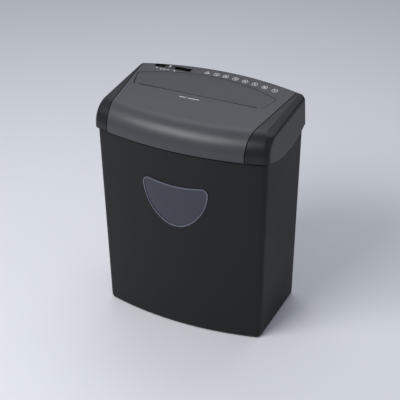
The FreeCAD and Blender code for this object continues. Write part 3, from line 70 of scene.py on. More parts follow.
def length(name, description, value):
    return bpy.props.FloatProperty(
        name=name, description=description, default=value * MM, unit="LENGTH", min=0, precision=5
    )


def factor(name, description, value, top=1.0):
    return bpy.props.FloatProperty(
        name=name, description=description, default=value, subtype="FACTOR", min=0, max=top
    )


class ShellFinish(bpy.types.PropertyGroup):
    """Colours and texture of the moulded shells."""

    bin_colour: colour("Bin", "Moulded colour of the waste bin", (0.0105, 0.0112, 0.0124))
    cover_colour: colour("Top cover", "Colour of the head's top cover", (0.0520, 0.0520, 0.0580))
    cap_colour: colour("End caps", "Colour of the head's end caps", (0.0080, 0.0088, 0.0104))
    throat_colour: colour("Feed throat", "Colour of the paper mouth", (0.0400, 0.0400, 0.0470))
    inner_colour: colour("Housing", "Colour of the lower housing", (0.0100, 0.0100, 0.0110))
    tray_colour: colour("Switch tray", "Colour of the switch's tray", (0.0050, 0.0050, 0.0056))
    knob_colour: colour("Slide knob", "Colour of the slide knob", (0.0130, 0.0130, 0.0145))
    window_colour: colour("Window", "Tint of the clear window", (0.0220, 0.0270, 0.0460))
    # painted highlight: the lighter colour that the window's raised rim is mixed towards
    rim_highlight_colour: colour("Window rim", "Colour of the window's raised rim", (0.1500, 0.1650, 0.2150))
    grain_size: length("Grain size", "Width of one grain of the moulded texture", 0.75)
    grain_depth: length("Grain depth", "Depth of the moulded texture", 0.035)


class MechanismFinish(bpy.types.PropertyGroup):
    """Colours of the cutter block, the gears and the electrical parts."""

    zinc: colour("Zinc plate", "Zinc-plated sheet and rods", (0.520, 0.535, 0.560))
    steel: colour("Cutter steel", "Ground and oiled steel", (0.390, 0.390, 0.400))
    bronze: colour("Bronze", "Sintered bronze bushes", (0.560, 0.360, 0.170))
    copper: colour("Copper", "Commutator copper", (0.760, 0.370, 0.210))
    nylon: colour("Nylon gears", "Moulded nylon gears", (0.700, 0.675, 0.590))
    iron: colour("Laminations", "Motor iron", (0.150, 0.150, 0.155))
    ferrite: colour("Ferrite", "Magnet ferrite", (0.045, 0.045, 0.050))
    rubber: colour("Rubber", "Rubber mounts and cord gland", (0.018, 0.018, 0.019))
    black_nylon: colour("Black nylon", "Combs, switches and the lever", (0.022, 0.022, 0.025))
    laminate: colour("Board", "Solder mask of the control board", (0.020, 0.135, 0.050))


class MarkSizes(bpy.types.PropertyGroup):
    """Sizes and ink of the printed marks."""

    ink: colour("Ink", "Printed ink on the cover", (0.640, 0.650, 0.670))
    icon_radius: length("Icon radius", "Outer radius of a round icon", 5.4)
    icon_line: length("Icon line", "Width of an icon's ring", 0.85)
    arrow_length: length("Arrow length", "Length of the large switch arrow", 5.2)
    emblem_length: length("Emblem length", "Length of the plain mark on the cover", 40)
    ink_height: length("Ink height", "Thickness of the printed ink", 0.06)
    rib_colour: colour("Knob stripe", "Light stripe on the slide knob", (0.560, 0.570, 0.590))


class StudioSettings(bpy.types.PropertyGroup):
    """Camera, lamps and floor."""

    camera_place: bpy.props.FloatVectorProperty(
        name="Camera place", description="Where the camera stands", size=3,
        default=(0.79273, -1.61911, 1.30352), subtype="TRANSLATION", unit="LENGTH",
    )
    camera_target: bpy.props.FloatVectorProperty(
        name="Camera target", description="The point the camera looks at", size=3,
        default=(-0.0025, 0.0, 0.20767), subtype="TRANSLATION", unit="LENGTH",
    )
    camera_roll: bpy.props.FloatProperty(
        name="Camera roll", description="Turn of the camera about its own line of sight",
        default=math.radians(-0.57), subtype="ANGLE", unit="ROTATION",
    )
    focal_length: bpy.props.FloatProperty(
        name="Focal length", description="Lens in millimetres", default=105.18, min=10
    )
    key_power: bpy.props.FloatProperty(
        name="Key lamp", description="Power of the lamp above the front left", default=27,
        unit="POWER"
    )
    top_power: bpy.props.FloatProperty(
        name="Top lamp", description="Power of the lamp over the head", default=6.5, unit="POWER"
    )
    side_power: bpy.props.FloatProperty(
        name="Side lamp", description="Power of the lamp on the right", default=1.5, unit="POWER"
    )
    room_light: factor("Room light", "Strength of the even light all round", 0.36, 4.0)
    floor_colour: colour("Floor", "Colour of the pale floor", (0.800, 0.810, 0.830))


def settings():
    scene = bpy.context.scene
    return (scene.shredder_shell, scene.shredder_mechanism, scene.shredder_marks,
            scene.shredder_studio)


# ---------------------------------------------------------------- material expressions


class Wire:
    """A node's output socket that takes part in Python expressions."""

    def __init__(self, shader, socket):
        self.shader = shader
        self.socket = socket

    def _math(self, operation, *values):
        return self.shader.make("ShaderNodeMath", {"operation": operation}, dict(enumerate(values)))

    def __add__(self, other):
        return self._math("ADD", self, other)

    def __sub__(self, other):
        return self._math("SUBTRACT", self, other)

    def __mul__(self, other):
        return self._math("MULTIPLY", self, other)

    def __rsub__(self, other):
        return self._math("SUBTRACT", other, self)

    __radd__ = __add__
    __rmul__ = __mul__

    def sqrt(self):
        return self._math("SQRT", self)

    def sine(self):
        return self._math("SINE", self)

    def absolute(self):
        return self._math("ABSOLUTE", self)

    def step(self, low, high):
        """0 below low, 1 above high, and smooth between."""
        inputs = {"Value": self, "From Min": low, "From Max": high}
        return self.shader.make("ShaderNodeMapRange", {"interpolation_type": "SMOOTHSTEP"}, inputs)


class Finish:
    """A material being built: every node comes from make()."""

    def __init__(self, name):
        self.material = bpy.data.materials.new(name)
        self.material.use_nodes = True
        self.nodes = self.material.node_tree.nodes
        self.links = self.material.node_tree.links
        self.nodes.clear()

    def make(self, kind, node_settings=None, inputs=None, output=0):
        """Adds one node, sets it up, feeds its sockets and returns one of its outputs."""
        node = self.nodes.new(kind)
        for name, value in (node_settings or {}).items():
            if name == "stops":
                ramp = node.color_ramp
                while len(ramp.elements) < len(value):
                    ramp.elements.new(0.5)
                for element, (place, tone) in zip(ramp.elements, value):
                    element.position = place
                    element.color = (*tone, 1) if len(tone) == 3 else tone
            else:
                setattr(node, name, value)
        for name, value in (inputs or {}).items():
            socket = node.inputs[name]
            if isinstance(value, Wire):
                self.links.new(value.socket, socket)
            elif socket.type == "RGBA" and len(value) == 3:
                socket.default_value = (*value, 1)
            else:
                socket.default_value = value
        return Wire(self, node.outputs[output])

    def place(self):
        return self.make("ShaderNodeTexCoord", output="Object")

    def axes(self):
        """The surface point's x, y and z in metres."""
        source = self.place()
        split = self.make("ShaderNodeSeparateXYZ", None, {"Vector": source})
        node = split.socket.node
        return [Wire(self, node.outputs[i]) for i in range(3)]

    def facing(self):
        """The surface direction's x, y and z."""
        source = self.make("ShaderNodeNewGeometry", output="Normal")
        split = self.make("ShaderNodeSeparateXYZ", None, {"Vector": source})
        node = split.socket.node
        return [Wire(self, node.outputs[i]) for i in range(3)]

    def stretched(self, scale):
        return self.make("ShaderNodeMapping", None, {"Vector": self.place(), "Scale": scale})

    def noise(self, size, detail=3.0, roughness=0.55, vector=None, distortion=0.0):
        """Cloudy pattern whose blobs are about size across, in metres."""
        inputs = {"Vector": vector or self.place(), "Scale": 1 / size, "Detail": detail,
                  "Roughness": roughness, "Distortion": distortion}
        return self.make("ShaderNodeTexNoise", None, inputs)

    def cells(self, size, feature="F1", vector=None, randomness=1.0):
        """Distance pattern of cells about size across, in metres."""
        inputs = {"Vector": vector or self.place(), "Scale": 1 / size, "Randomness": randomness}
        return self.make("ShaderNodeTexVoronoi", {"feature": feature}, inputs)

    def mix(self, mask, low, high):
        """Colour that goes from low to high as mask goes from 0 to 1."""
        return self.make("ShaderNodeMix", {"data_type": "RGBA"}, {0: mask, 6: low, 7: high}, 2)

    def bump(self, height, distance, strength=1.0, below=None):
        inputs = {"Height": height, "Distance": distance, "Strength": strength}
        if below:
            inputs["Normal"] = below
        return self.make("ShaderNodeBump", None, inputs)

    def surface(self, base, roughness, normal=None, **fixed):
        """Closes the material with one Principled shader."""
        inputs = {"Base Color": base, "Roughness": roughness}
        if normal:
            inputs["Normal"] = normal
        inputs.update({name.replace("_", " "): value for name, value in fixed.items()})
        shader = self.make("ShaderNodeBsdfPrincipled", None, inputs)
        self.make_output(shader)
        return self.material

    def make_output(self, shader):
        target = self.nodes.new("ShaderNodeOutputMaterial")
        self.links.new(shader.socket, target.inputs["Surface"])


def darker(tone, share):
    return tuple(channel * share for channel in tone)


def wear_marks(finish):
    """Fine hairline scratches that run many ways, 1 on a scratch."""
    lines = None
    for angle, stretch in ((0.3, 1.0), (1.2, 1.4), (2.2, 0.8)):
        turned = finish.make("ShaderNodeMapping", None, {
            "Vector": finish.place(), "Rotation": (angle, angle * 0.7, angle * 1.3),
            "Scale": (900 * stretch, 14, 14),
        })
        line = finish.noise(1.0, 2.0, 0.5, turned).step(0.71, 0.76)
        lines = line if lines is None else lines + line
    return lines * finish.noise(0.05, 1.0).step(0.5, 0.62)


def moulded(name, tone, rough, grain_size, grain_depth, dust=0.05, scuff_below=0.0, gloss=0.35):
    """Moulded plastic: spark-eroded grain, cloudy gloss, hairlines and a little settled dust."""
    finish = Finish(name)
    up = finish.facing()[2]
    clouds = finish.noise(0.07, 4.0)
    pits = finish.cells(grain_size, "SMOOTH_F1")
    fine = finish.noise(grain_size * 0.45, 2.0)
    scratches = wear_marks(finish)
    speck = finish.noise(0.0011, 1.0, 0.4).step(0.66, 0.74)
    film = finish.noise(0.03, 5.0).step(0.35, 0.8) * dust
    settled = up.step(0.35, 0.95) * (film + speck * dust * 0.6)
    base = finish.mix(clouds, darker(tone, 0.90), darker(tone, 1.10))
    base = finish.mix(pits.step(0.1, 0.9) * 0.22, base, darker(tone, 1.45))
    base = finish.mix(scratches * 0.12, base, darker(tone, 2.4))
    if scuff_below:
        height = finish.axes()[2]
        low = 1 - height.step(0.0, scuff_below)
        scuffs = low * finish.noise(0.004, 5.0, 0.7).step(0.5, 0.75)
        base = finish.mix(scuffs * 0.35, base, darker(tone, 3.2))
    base = finish.mix(settled, base, DUST)
    roughness = rough + (clouds - 0.5) * 0.10 + settled * 1.2 + scratches * 0.05
    relief = finish.bump(pits * 0.7 + fine * 0.5, grain_depth)
    relief = finish.bump(scratches, 0.00001, 0.5, relief)
    return finish.surface(base, roughness, relief, Specular_IOR_Level=gloss, IOR=1.49)


def brushed(name, tone, rough, direction=(1, 1, 60), stain=0.0, turned=0.0):
    """Metal with fine lines along one way, cloudy handling marks and optional oil stain."""
    finish = Finish(name)
    grain = finish.noise(1.0, 3.0, 0.6, finish.stretched(tuple(60 * d for d in direction)))
    clouds = finish.noise(0.012, 4.0)
    spots = finish.noise(0.003, 3.0, 0.6).step(0.6, 0.72)
    base = finish.mix(clouds, darker(tone, 0.82), darker(tone, 1.08))
    base = finish.mix(grain * 0.35, base, darker(tone, 0.6))
    if stain:
        base = finish.mix(spots * stain, base, (0.11, 0.07, 0.04))
    roughness = rough + (grain - 0.5) * 0.16 + clouds * 0.08
    height = grain
    if turned:
        height = grain * 0.4 + (finish.axes()[0] * (math.tau / turned)).sine() * 0.5
    return finish.surface(base, roughness, finish.bump(height, 0.00003), Metallic=1.0)


# ---------------------------------------------------------------- shaping helpers


def start_clean():
    if bpy.context.object and bpy.context.object.mode != "OBJECT":
        bpy.ops.object.mode_set(mode="OBJECT")
    bpy.ops.object.select_all(action="DESELECT")


def only(piece):
    start_clean()
    piece.select_set(True)
    bpy.context.view_layer.objects.active = piece
    return piece


def settle(piece):
    """Puts a finished piece's place into its mesh, so its object stands unturned at the origin."""
    only(piece)
    bpy.ops.object.transform_apply(location=True, rotation=True, scale=True)
    return piece


def select_faces(mesh, chosen):
    for face in mesh.faces:
        face.select_set(chosen(face))
    mesh.select_flush_mode()


def apply(piece, kind, **values):
    """Adds one modifier, sets it and applies it."""
    only(piece)
    modifier = piece.modifiers.new(kind.title(), kind)
    for name, value in values.items():
        setattr(modifier, name, value)
    bpy.ops.object.modifier_apply(modifier=modifier.name)
    return piece


def join(pieces, name):
    start_clean()
    for piece in pieces:
        piece.select_set(True)
    bpy.context.view_layer.objects.active = pieces[0]
    bpy.ops.object.join()
    pieces[0].name = pieces[0].data.name = name
    return pieces[0]


def flat_ring(radius, line, sides=40):
    """A flat ring about the origin: a disc whose middle is inset and removed."""
    start_clean()
    bpy.ops.mesh.primitive_circle_add(vertices=sides, radius=radius, fill_type="NGON")
    piece = bpy.context.object
    bpy.ops.object.mode_set(mode="EDIT")
    bpy.ops.mesh.select_all(action="SELECT")
    bpy.ops.mesh.inset(thickness=line)
    bpy.ops.mesh.delete(type="FACE")
    bpy.ops.object.mode_set(mode="OBJECT")
    return piece


def flat_bar(x, y, half_long, half_wide, degrees=0.0, round_end=0.4):
    """A flat bar with rounded ends, turned about its own middle."""
    start_clean()
    bpy.ops.mesh.primitive_plane_add(size=2)
    piece = bpy.context.object
    bpy.ops.object.mode_set(mode="EDIT")
    bpy.ops.transform.resize(value=(half_long, half_wide, 1))
    bpy.ops.mesh.bevel(offset=min(half_long, half_wide) * round_end, segments=3, affect="VERTICES")
    turn = math.radians(degrees)
    bpy.ops.transform.rotate(value=-turn, orient_axis="Z", center_override=(0, 0, 0))
    bpy.ops.transform.translate(value=(x, y, 0))
    bpy.ops.object.mode_set(mode="OBJECT")
    return piece


def flat_triangle(x, y, radius, degrees=0.0, hollow=0.0):
    """A flat triangle with soft corners, filled or as an outline."""
    start_clean()
    bpy.ops.mesh.primitive_circle_add(vertices=3, radius=radius, fill_type="NGON")
    piece = bpy.context.object
    bpy.ops.object.mode_set(mode="EDIT")
    bpy.ops.mesh.select_all(action="SELECT")
    bpy.ops.mesh.bevel(offset=radius * 0.10, segments=3, affect="VERTICES")
    if hollow:
        bpy.ops.mesh.select_all(action="SELECT")
        bpy.ops.mesh.inset(thickness=hollow)
        bpy.ops.mesh.delete(type="FACE")
        bpy.ops.mesh.select_all(action="SELECT")
    turn = math.radians(degrees)
    bpy.ops.transform.rotate(value=-turn, orient_axis="Z", center_override=(0, 0, 0))
    bpy.ops.transform.translate(value=(x, y, 0))
    bpy.ops.object.mode_set(mode="OBJECT")
    return piece


def flat_disc(x, y, radius, sides=16, squash=1.0):
    start_clean()
    bpy.ops.mesh.primitive_circle_add(vertices=sides, radius=radius, fill_type="NGON")
    piece = bpy.context.object
    bpy.ops.object.mode_set(mode="EDIT")
    bpy.ops.mesh.select_all(action="SELECT")
    bpy.ops.transform.resize(value=(1, squash, 1))
    bpy.ops.mesh.inset(thickness=radius * 0.3 * squash)
    bpy.ops.transform.translate(value=(x, y, 0))
    bpy.ops.mesh.select_all(action="SELECT")
    bpy.ops.object.mode_set(mode="OBJECT")
    return piece


def print_on_cover(piece, x, y, turn=0.0):
    """Lays a flat mark on the cover at x, y (metres), follows its curve and gives it thickness."""
    marks = settings()[2]
    piece.location = (x, y, 0.5)
    piece.rotation_euler.z = turn
    settle(piece)
    bpy.ops.object.mode_set(mode="EDIT")
    bpy.ops.mesh.select_all(action="SELECT")
    bpy.ops.mesh.quads_convert_to_tris()
    bpy.ops.mesh.subdivide(number_cuts=1)
    bpy.ops.object.mode_set(mode="OBJECT")
    apply(piece, "SHRINKWRAP", target=COVER, wrap_method="PROJECT", use_project_z=True,
          use_negative_direction=True, use_positive_direction=False, offset=0.00002)
    apply(piece, "SOLIDIFY", thickness=marks.ink_height, offset=1.0)
    only(piece)
    bpy.ops.object.mode_set(mode="EDIT")
    bpy.ops.mesh.select_all(action="SELECT")
    bpy.ops.mesh.normals_make_consistent(inside=False)
    bpy.ops.object.mode_set(mode="OBJECT")
    return piece


def printed_ink():
    found = bpy.data.materials.get("printed_ink")
    if found:
        return found
    marks = settings()[2]
    finish = Finish("printed_ink")
    cover = finish.noise(0.0007, 2.0)
    worn = finish.noise(0.004, 4.0).step(0.30, 0.46)
    base = finish.mix(worn, darker(marks.ink, 0.72), marks.ink)
    base = finish.mix(cover.step(0.3, 0.8) * 0.3, base, darker(marks.ink, 0.84))
    return finish.surface(base, 0.42 + cover * 0.15, finish.bump(cover, 0.00001))


def finish_mark(piece, body="head"):
    piece.data.materials.clear()
    piece.data.materials.append(printed_ink())
    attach(piece, body)
    return piece


def paint(material, *nodes):
    """Gives CAD nodes one material."""
    for name in nodes:
        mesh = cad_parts[name].data
        mesh.materials.clear()
        mesh.materials.append(material)


# ---------------------------------------------------------------- operators


class SHREDDER_OT_shell(bpy.types.Operator):
    """Finish the bin, the head's shells and the throat"""

    bl_idname = "shredder.finish_shells"
    bl_label = "Finish Shells"

    def execute(self, context):
        look = settings()[0]
        grain, depth = look.grain_size, look.grain_depth
        paint(moulded("bin_grained", look.bin_colour, 0.56, grain * 1.15, depth * 1.3,
                      dust=0.02, scuff_below=0.02, gloss=0.25), "bin")
        paint(moulded("cover_satin", look.cover_colour, 0.37, grain * 0.8, depth * 0.5,
                      dust=0.035), "top_cover")
        paint(moulded("cap_satin", look.cap_colour, 0.36, grain * 0.8, depth * 0.55,
                      dust=0.03), "left_end_cap", "right_end_cap")
        paint(moulded("throat_satin", look.throat_colour, 0.38, grain * 0.7, depth * 0.5,
                      dust=0.05), "feed_throat")
        paint(moulded("housing_moulded", look.inner_colour, 0.5, grain, depth, dust=0.1),
              "lower_housing")
        paint(moulded("tray_polished", look.tray_colour, 0.2, grain * 0.6, depth * 0.2,
                      dust=0.04), "switch_tray")
        paint(moulded("knob_gloss", look.knob_colour, 0.27, grain * 0.6, depth * 0.3,
                      dust=0.03), "slider_knob")
        return {"FINISHED"}


class SHREDDER_OT_window(bpy.types.Operator):
    """Finish the clear window and its raised rim"""

    bl_idname = "shredder.finish_window"
    bl_label = "Finish Window"

    def execute(self, context):
        look = settings()[0]
        finish = Finish("window_clear")
        x, y, z = finish.axes()
        reach = (x * x + (BOW_CENTRE - y) * (BOW_CENTRE - y)).sqrt()
        proud = reach + (FACE_TOP - z) * FACE_LEAN
        # mask of the raised rim: it gets a little more roughness and a painted highlight colour
        rim = proud.step(FACE_RADIUS + 0.0005, FACE_RADIUS + 0.0010)
        clouds = finish.noise(0.02, 4.0)
        speck = finish.cells(0.0042).step(0.30, 0.12)
        streak = finish.noise(1.0, 3.0, 0.5, finish.stretched((70, 70, 22)))
        base = finish.mix(clouds, darker(look.window_colour, 0.8), darker(look.window_colour, 1.25))
        base = finish.mix(speck * 0.10, base, darker(look.window_colour, 2.2))
        # painted highlight: the raised rim is mixed most of the way to a lighter colour
        base = finish.mix(rim * 0.8, base, look.rim_highlight_colour)
        roughness = 0.10 + clouds * 0.06 + rim * 0.08 + speck * 0.05
        relief = finish.bump(streak, 0.00015, 0.6)
        relief = finish.bump(speck, 0.00004, 0.5, relief)
        material = finish.surface(base, roughness, relief, IOR=1.49, Transmission_Weight=0.2,
                                  Coat_Weight=0.2, Coat_Roughness=0.08)
        paint(material, "bin_window")
        return {"FINISHED"}


class SHREDDER_OT_mechanism(bpy.types.Operator):
    """Finish the cutter block, gears, motor and electrical parts"""

    bl_idname = "shredder.finish_mechanism"
    bl_label = "Finish Mechanism"

    def execute(self, context):
        look = settings()[1]
        paint(brushed("zinc_sheet", look.zinc, 0.34, (1, 6, 60), stain=0.1),
              "left_frame_plate", "right_frame_plate", "outer_gear_plate")
        paint(brushed("zinc_rod", look.zinc, 0.28, (60, 6, 6), turned=0.0009),
              "tie_rods", "gear_plate_posts", "gear_pins")
        paint(brushed("zinc_screw", darker(look.zinc, 0.92), 0.30, (20, 20, 20)),
              "frame_screws", "cover_screws", "motor_screws")
        paint(brushed("cutter_ground", look.steel, 0.26, (60, 8, 8), stain=0.35, turned=0.0006),
              "front_cutter_discs", "rear_cutter_discs")
        paint(brushed("shaft_ground", darker(look.steel, 1.1), 0.22, (60, 4, 4), turned=0.0005),
              "front_cutter_shaft", "rear_cutter_shaft", "motor_shaft")
        paint(brushed("gear_hobbed", darker(look.steel, 0.95), 0.33, (40, 10, 10), stain=0.2),
              "front_sync_gear", "rear_sync_gear", "motor_pinion")
        paint(brushed("bush_sintered", look.bronze, 0.42, (12, 12, 12), stain=0.25), "shaft_bushes")
        paint(brushed("copper_turned", look.copper, 0.3, (4, 40, 40), turned=0.0008),
              "motor_commutator")
        paint(brushed("spring_drawn", darker(look.zinc, 1.05), 0.24, (10, 10, 60)),
              "interlock_spring")
        paint(brushed("can_drawn", darker(look.zinc, 0.9), 0.32, (60, 3, 3), stain=0.08),
              "motor_can")
        self.laminated(look)
        fine = dict(grain_size=0.0006, grain_depth=0.00002, dust=0.05)
        paint(moulded("gear_nylon", look.nylon, 0.4, **fine), "output_gear",
              "second_reduction_gear", "first_reduction_gear", "interlock_plunger")
        paint(moulded("nylon_black", look.black_nylon, 0.42, **fine), "front_stripper_comb",
              "rear_stripper_comb", "rear_cutter_spacers", "front_cutter_spacers",
              "motor_end_bell", "paper_sensor_lever")
        paint(moulded("switch_case", darker(look.black_nylon, 0.8), 0.36, **fine),
              "mode_switch_body", "interlock_switch", "sensor_switch")
        paint(moulded("mount_rubber", look.rubber, 0.78, 0.0009, 0.00004, dust=0.12),
              "rubber_mounts")
        paint(moulded("gland_rubber", look.rubber, 0.62, 0.0008, 0.00003, dust=0.06), "cord_gland")
        paint(moulded("magnet_ferrite", look.ferrite, 0.7, 0.0005, 0.00005, dust=0.02),
              "motor_magnets")
        self.board(look)
        return {"FINISHED"}

    def laminated(self, look):
        """Stacked iron sheets along the motor's axis."""
        finish = Finish("iron_laminations")
        stack = (finish.axes()[0] * (math.tau / 0.0005)).sine().step(-0.6, 0.9)
        clouds = finish.noise(0.004, 4.0)
        base = finish.mix(stack, darker(look.iron, 0.55), darker(look.iron, 1.2))
        base = finish.mix(clouds.step(0.55, 0.75) * 0.4, base, (0.10, 0.055, 0.03))
        paint(finish.surface(base, 0.45 + clouds * 0.15, finish.bump(stack, 0.00006), Metallic=0.9),
              "motor_armature")

    def board(self, look):
        """Green laminate with copper tracks, and its dark parts with printed cases."""
        finish = Finish("board_laminate")
        x, _, z = finish.axes()
        lines = (x * (math.tau / 0.0041)).sine().absolute().step(0.90, 0.97)
        rows = (z * (math.tau / 0.0053)).sine().absolute().step(0.93, 0.98)
        patches = finish.cells(0.011, "F1").step(0.35, 0.30)
        tracks = (lines * patches + rows * (1 - patches)).step(0.3, 0.7)
        weave = finish.noise(1.0, 2.0, 0.5, finish.stretched((1800, 300, 1800)))
        base = finish.mix(tracks, look.laminate, darker(look.laminate, 1.9))
        base = finish.mix(weave * 0.25, base, darker(look.laminate, 0.6))
        paint(finish.surface(base, 0.3 + weave * 0.1, finish.bump(tracks, 0.00003)),
              "control_board")

        finish = Finish("component_cases")
        cells = finish.cells(0.016, "F1")
        tint = finish.noise(0.02, 1.0, 0.3)
        base = finish.make("ShaderNodeValToRGB", {"stops": (
            (0.0, (0.012, 0.012, 0.014)), (0.45, (0.02, 0.02, 0.024)),
            (0.55, (0.03, 0.055, 0.16)), (0.75, (0.35, 0.34, 0.30)))}, {"Fac": tint})
        grain = finish.noise(0.0005, 2.0)
        paint(finish.surface(base, 0.38 + cells * 3.0, finish.bump(grain, 0.00001)),
              "board_components")


def glyphs(kind, scale):
    """The simple shapes inside one round icon; scale is the ring's inner radius."""
    r = scale
    if kind == "sheet":
        return [flat_bar(0, y * r, 0.42 * r, 0.09 * r) for y in (0.05, 0.38, -0.28)]
    if kind == "card":
        return [flat_bar(0, 0.0, 0.55 * r, 0.34 * r, 0, 0.25)]
    if kind == "clip":
        return [flat_bar(-0.2 * r, 0, 0.55 * r, 0.09 * r, 90),
                flat_bar(0.2 * r, 0, 0.42 * r, 0.09 * r, 90),
                flat_bar(0, 0.5 * r, 0.22 * r, 0.09 * r)]
    if kind == "figure":
        return [flat_disc(0, 0.42 * r, 0.2 * r), flat_bar(0, -0.18 * r, 0.36 * r, 0.2 * r, 90, 0.6)]
    if kind == "drop":
        return [flat_disc(0, -0.16 * r, 0.36 * r), flat_triangle(0, 0.28 * r, 0.34 * r)]
    if kind == "bolt":
        return [flat_bar(-0.1 * r, 0.25 * r, 0.34 * r, 0.11 * r, 60),
                flat_bar(0.1 * r, -0.25 * r, 0.34 * r, 0.11 * r, 60),
                flat_bar(0, 0, 0.3 * r, 0.1 * r, 0)]
    return [flat_bar(0, 0, 0.5 * r, 0.12 * r, 45), flat_bar(0, 0, 0.5 * r, 0.12 * r, -45)]


class SHREDDER_OT_icons(bpy.types.Operator):
    """Print the row of plain icons behind the paper mouth"""

    bl_idname = "shredder.print_icons"
    bl_label = "Print Icon Row"

    row = ((-9, 84.6, "figure"), (9, 84.4, "sheet"), (28.5, 83.2, "clip"), (48, 81, "drop"),
           (67.5, 78.6, "bolt"), (87.5, 75.4, "card"), (108, 71.6, "cross"))

    def execute(self, context):
        marks = settings()[2]
        radius, line = marks.icon_radius, marks.icon_line
        triangle = join([flat_triangle(0, 0, radius * 1.15, 0, line),
                         flat_bar(0, radius * 0.12, radius * 0.28, radius * 0.11, 90),
                         flat_disc(0, -radius * 0.33, radius * 0.13)], "icon_triangle")
        finish_mark(print_on_cover(triangle, -27 * MM, 84.6 * MM))
        for number, (x, y, kind) in enumerate(self.row, 1):
            turn = -math.asin(x * MM / ROW_RADIUS)
            made = [flat_ring(radius, line)] + glyphs(kind, radius - line)
            made.append(flat_bar(0, 0, radius - line * 0.8, line * 0.42, -45))
            icon = join(made, f"icon_{number}_{kind}")
            finish_mark(print_on_cover(icon, x * MM, y * MM, turn))
        return {"FINISHED"}


class SHREDDER_OT_switch_marks(bpy.types.Operator):
    """Print the arrows and tick marks round the slide switch"""

    bl_idname = "shredder.print_switch_marks"
    bl_label = "Print Switch Marks"

    def execute(self, context):
        marks = settings()[2]
        size = marks.arrow_length
        large = flat_triangle(0, 0, size * 0.5, -90)
        large.name = "switch_arrow_right"
        finish_mark(print_on_cover(large, -86 * MM, 70.7 * MM, -0.12))
        small = flat_triangle(0, 0, size * 0.4, 90)
        small.name = "switch_arrow_left"
        finish_mark(print_on_cover(small, -121 * MM, 71.0 * MM, 0.12))
        ticks = [flat_bar(x * MM, 0, 2.6 * MM, 0.55 * MM) for x in (-13, -6.2, 0.6)]
        ticks += [flat_bar(x * MM, -2.4 * MM, 1.9 * MM, 0.45 * MM) for x in (-12, -5.5)]
        finish_mark(print_on_cover(join(ticks, "switch_ticks"), -99 * MM, 70.8 * MM, 0.08))
        return {"FINISHED"}


class SHREDDER_OT_emblem(bpy.types.Operator):
    """Print the small plain mark in front of the paper slot"""

    bl_idname = "shredder.print_emblem"
    bl_label = "Print Plain Mark"

    def execute(self, context):
        marks = settings()[2]
        unit = marks.emblem_length / 40
        parts = [flat_bar(-12.5 * unit, 0, 6.5 * unit, 0.8 * unit, 0, 0.8),
                 flat_bar(8 * unit, 0, 11 * unit, 0.8 * unit, 0, 0.8)]
        finish_mark(print_on_cover(join(parts, "plain_mark"), -17 * MM, -9 * MM, 0.0))
        return {"FINISHED"}


class SHREDDER_OT_knob_stripe(bpy.types.Operator):
    """Cap the slide knob's rib with its light stripe"""

    bl_idname = "shredder.cap_knob"
    bl_label = "Cap Knob Rib"

    def execute(self, context):
        marks = settings()[2]
        low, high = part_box("slider_knob")
        middle = (low + high) / 2
        start_clean()
        bpy.ops.mesh.primitive_cube_add(size=1, location=(middle.x, middle.y, high.z - 0.6 * MM))
        stripe = bpy.context.object
        stripe.name = stripe.data.name = "knob_stripe"
        bpy.ops.object.mode_set(mode="EDIT")
        bpy.ops.mesh.select_all(action="SELECT")
        bpy.ops.transform.resize(value=(3.0 * MM, high.y - low.y - 1.6 * MM, 0.9 * MM))
        mesh = bmesh.from_edit_mesh(stripe.data)
        mesh.faces.ensure_lookup_table()
        select_faces(mesh, lambda face: face.normal.z > 0.9)
        bpy.ops.mesh.inset(thickness=0.5 * MM)
        bpy.ops.transform.translate(value=(0, 0, 0.25 * MM))
        bpy.ops.object.mode_set(mode="OBJECT")
        apply(stripe, "BEVEL", width=0.18 * MM, segments=3, limit_method="ANGLE")
        only(stripe)
        bpy.ops.object.shade_smooth_by_angle(angle=math.radians(35))
        settle(stripe)
        finish = Finish("knob_stripe_paint")
        clouds = finish.noise(0.002, 3.0)
        base = finish.mix(clouds, darker(marks.rib_colour, 0.85), marks.rib_colour)
        stripe.data.materials.append(
            finish.surface(base, 0.3 + clouds * 0.1, finish.bump(clouds, 0.00001)))
        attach(stripe, "mode_slider")
        return {"FINISHED"}


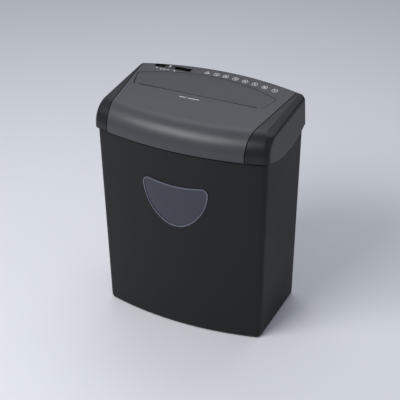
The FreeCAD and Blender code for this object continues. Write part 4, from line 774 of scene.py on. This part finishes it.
class SHREDDER_OT_studio(bpy.types.Operator):
    """Lay the pale floor, hang the soft lamps and place the camera"""

    bl_idname = "shredder.build_studio"
    bl_label = "Build Studio"

    # name, place, the point it faces, width and height
    lamps = (("key", (-0.62, -1.2, 1.6), (0.0, -0.05, 0.38), (1.2, 0.75)),
             ("top", (-0.2, 0.75, 1.55), (0.0, 0.0, 0.40), (1.4, 0.9)),
             ("side", (1.9, 0.1, 0.9), (0.1, 0.0, 0.22), (0.8, 1.2)))

    def execute(self, context):
        look = settings()[3]
        self.floor(look)
        for name, place, target, size in self.lamps:
            self.lamp(name, place, target, size, getattr(look, name + "_power"))
        world = bpy.data.worlds.new("studio_air")
        context.scene.world = world
        world.use_nodes = True
        background = world.node_tree.nodes["Background"]
        background.inputs["Color"].default_value = (0.80, 0.86, 1.0, 1)
        background.inputs["Strength"].default_value = look.room_light
        self.camera(look)
        context.scene.view_settings.view_transform = "Standard"
        return {"FINISHED"}

    def floor(self, look):
        start_clean()
        bpy.ops.mesh.primitive_plane_add(size=9, location=(0, 0, -0.0002))
        sweep = bpy.context.object
        sweep.name = "studio_floor"
        finish = Finish("floor_paper")
        clouds = finish.noise(0.5, 3.0)
        fibre = finish.noise(0.002, 2.0)
        base = finish.mix(clouds, darker(look.floor_colour, 0.96), look.floor_colour)
        sweep.data.materials.append(
            finish.surface(base, 0.55 + clouds * 0.1, finish.bump(fibre, 0.00004)))

    def lamp(self, name, place, target, size, power):
        start_clean()
        bpy.ops.object.light_add(type="AREA", location=place)
        lamp = bpy.context.object
        lamp.name = "lamp_" + name
        lamp.data.shape = "RECTANGLE"
        lamp.data.size, lamp.data.size_y = size
        lamp.data.energy = power
        aim = Vector(target) - Vector(place)
        lamp.rotation_euler = aim.to_track_quat("-Z", "Y").to_euler()

    def camera(self, look):
        start_clean()
        bpy.ops.object.camera_add(location=look.camera_place)
        camera = bpy.context.object
        aim = Vector(look.camera_target) - Vector(look.camera_place)
        turn = aim.to_track_quat("-Z", "Y").to_matrix().to_4x4()
        roll = Matrix.Rotation(look.camera_roll, 4, "Z")
        camera.rotation_euler = (turn @ roll).to_euler()
        camera.data.lens = look.focal_length
        camera.data.sensor_width = 36
        camera.data.clip_end = 50
        bpy.context.scene.camera = camera


OPERATORS = (
    SHREDDER_OT_shell, SHREDDER_OT_window, SHREDDER_OT_mechanism, SHREDDER_OT_icons,
    SHREDDER_OT_switch_marks, SHREDDER_OT_emblem, SHREDDER_OT_knob_stripe, SHREDDER_OT_studio,
)
GROUPS = {"shredder_shell": ShellFinish, "shredder_mechanism": MechanismFinish,
          "shredder_marks": MarkSizes, "shredder_studio": StudioSettings}


class SHREDDER_PT_panel(bpy.types.Panel):
    """Every step and every setting of the shredder"""

    bl_idname = "SHREDDER_PT_panel"
    bl_label = "Paper Shredder"
    bl_space_type = "VIEW_3D"
    bl_region_type = "UI"
    bl_category = "Shredder"

    def draw(self, context):
        for operator in OPERATORS:
            self.layout.operator(operator.bl_idname)
        for name, group in GROUPS.items():
            box = self.layout.box()
            box.label(text=group.__doc__)
            for field in group.__annotations__:
                box.prop(getattr(context.scene, name), field)


def register():
    for group in GROUPS.values():
        bpy.utils.register_class(group)
    for name, group in GROUPS.items():
        setattr(bpy.types.Scene, name, bpy.props.PointerProperty(type=group))
    for operator in OPERATORS:
        bpy.utils.register_class(operator)
    bpy.utils.register_class(SHREDDER_PT_panel)


def unregister():
    bpy.utils.unregister_class(SHREDDER_PT_panel)
    for operator in reversed(OPERATORS):
        bpy.utils.unregister_class(operator)
    for name, group in GROUPS.items():
        delattr(bpy.types.Scene, name)
        bpy.utils.unregister_class(group)


def main():
    register()
    bpy.ops.shredder.finish_shells()
    bpy.ops.shredder.finish_window()
    bpy.ops.shredder.finish_mechanism()
    bpy.ops.shredder.print_icons()
    bpy.ops.shredder.print_switch_marks()
    bpy.ops.shredder.print_emblem()
    bpy.ops.shredder.cap_knob()
    bpy.ops.shredder.build_studio()
    start_clean()


if __name__ == "__main__":
    main()
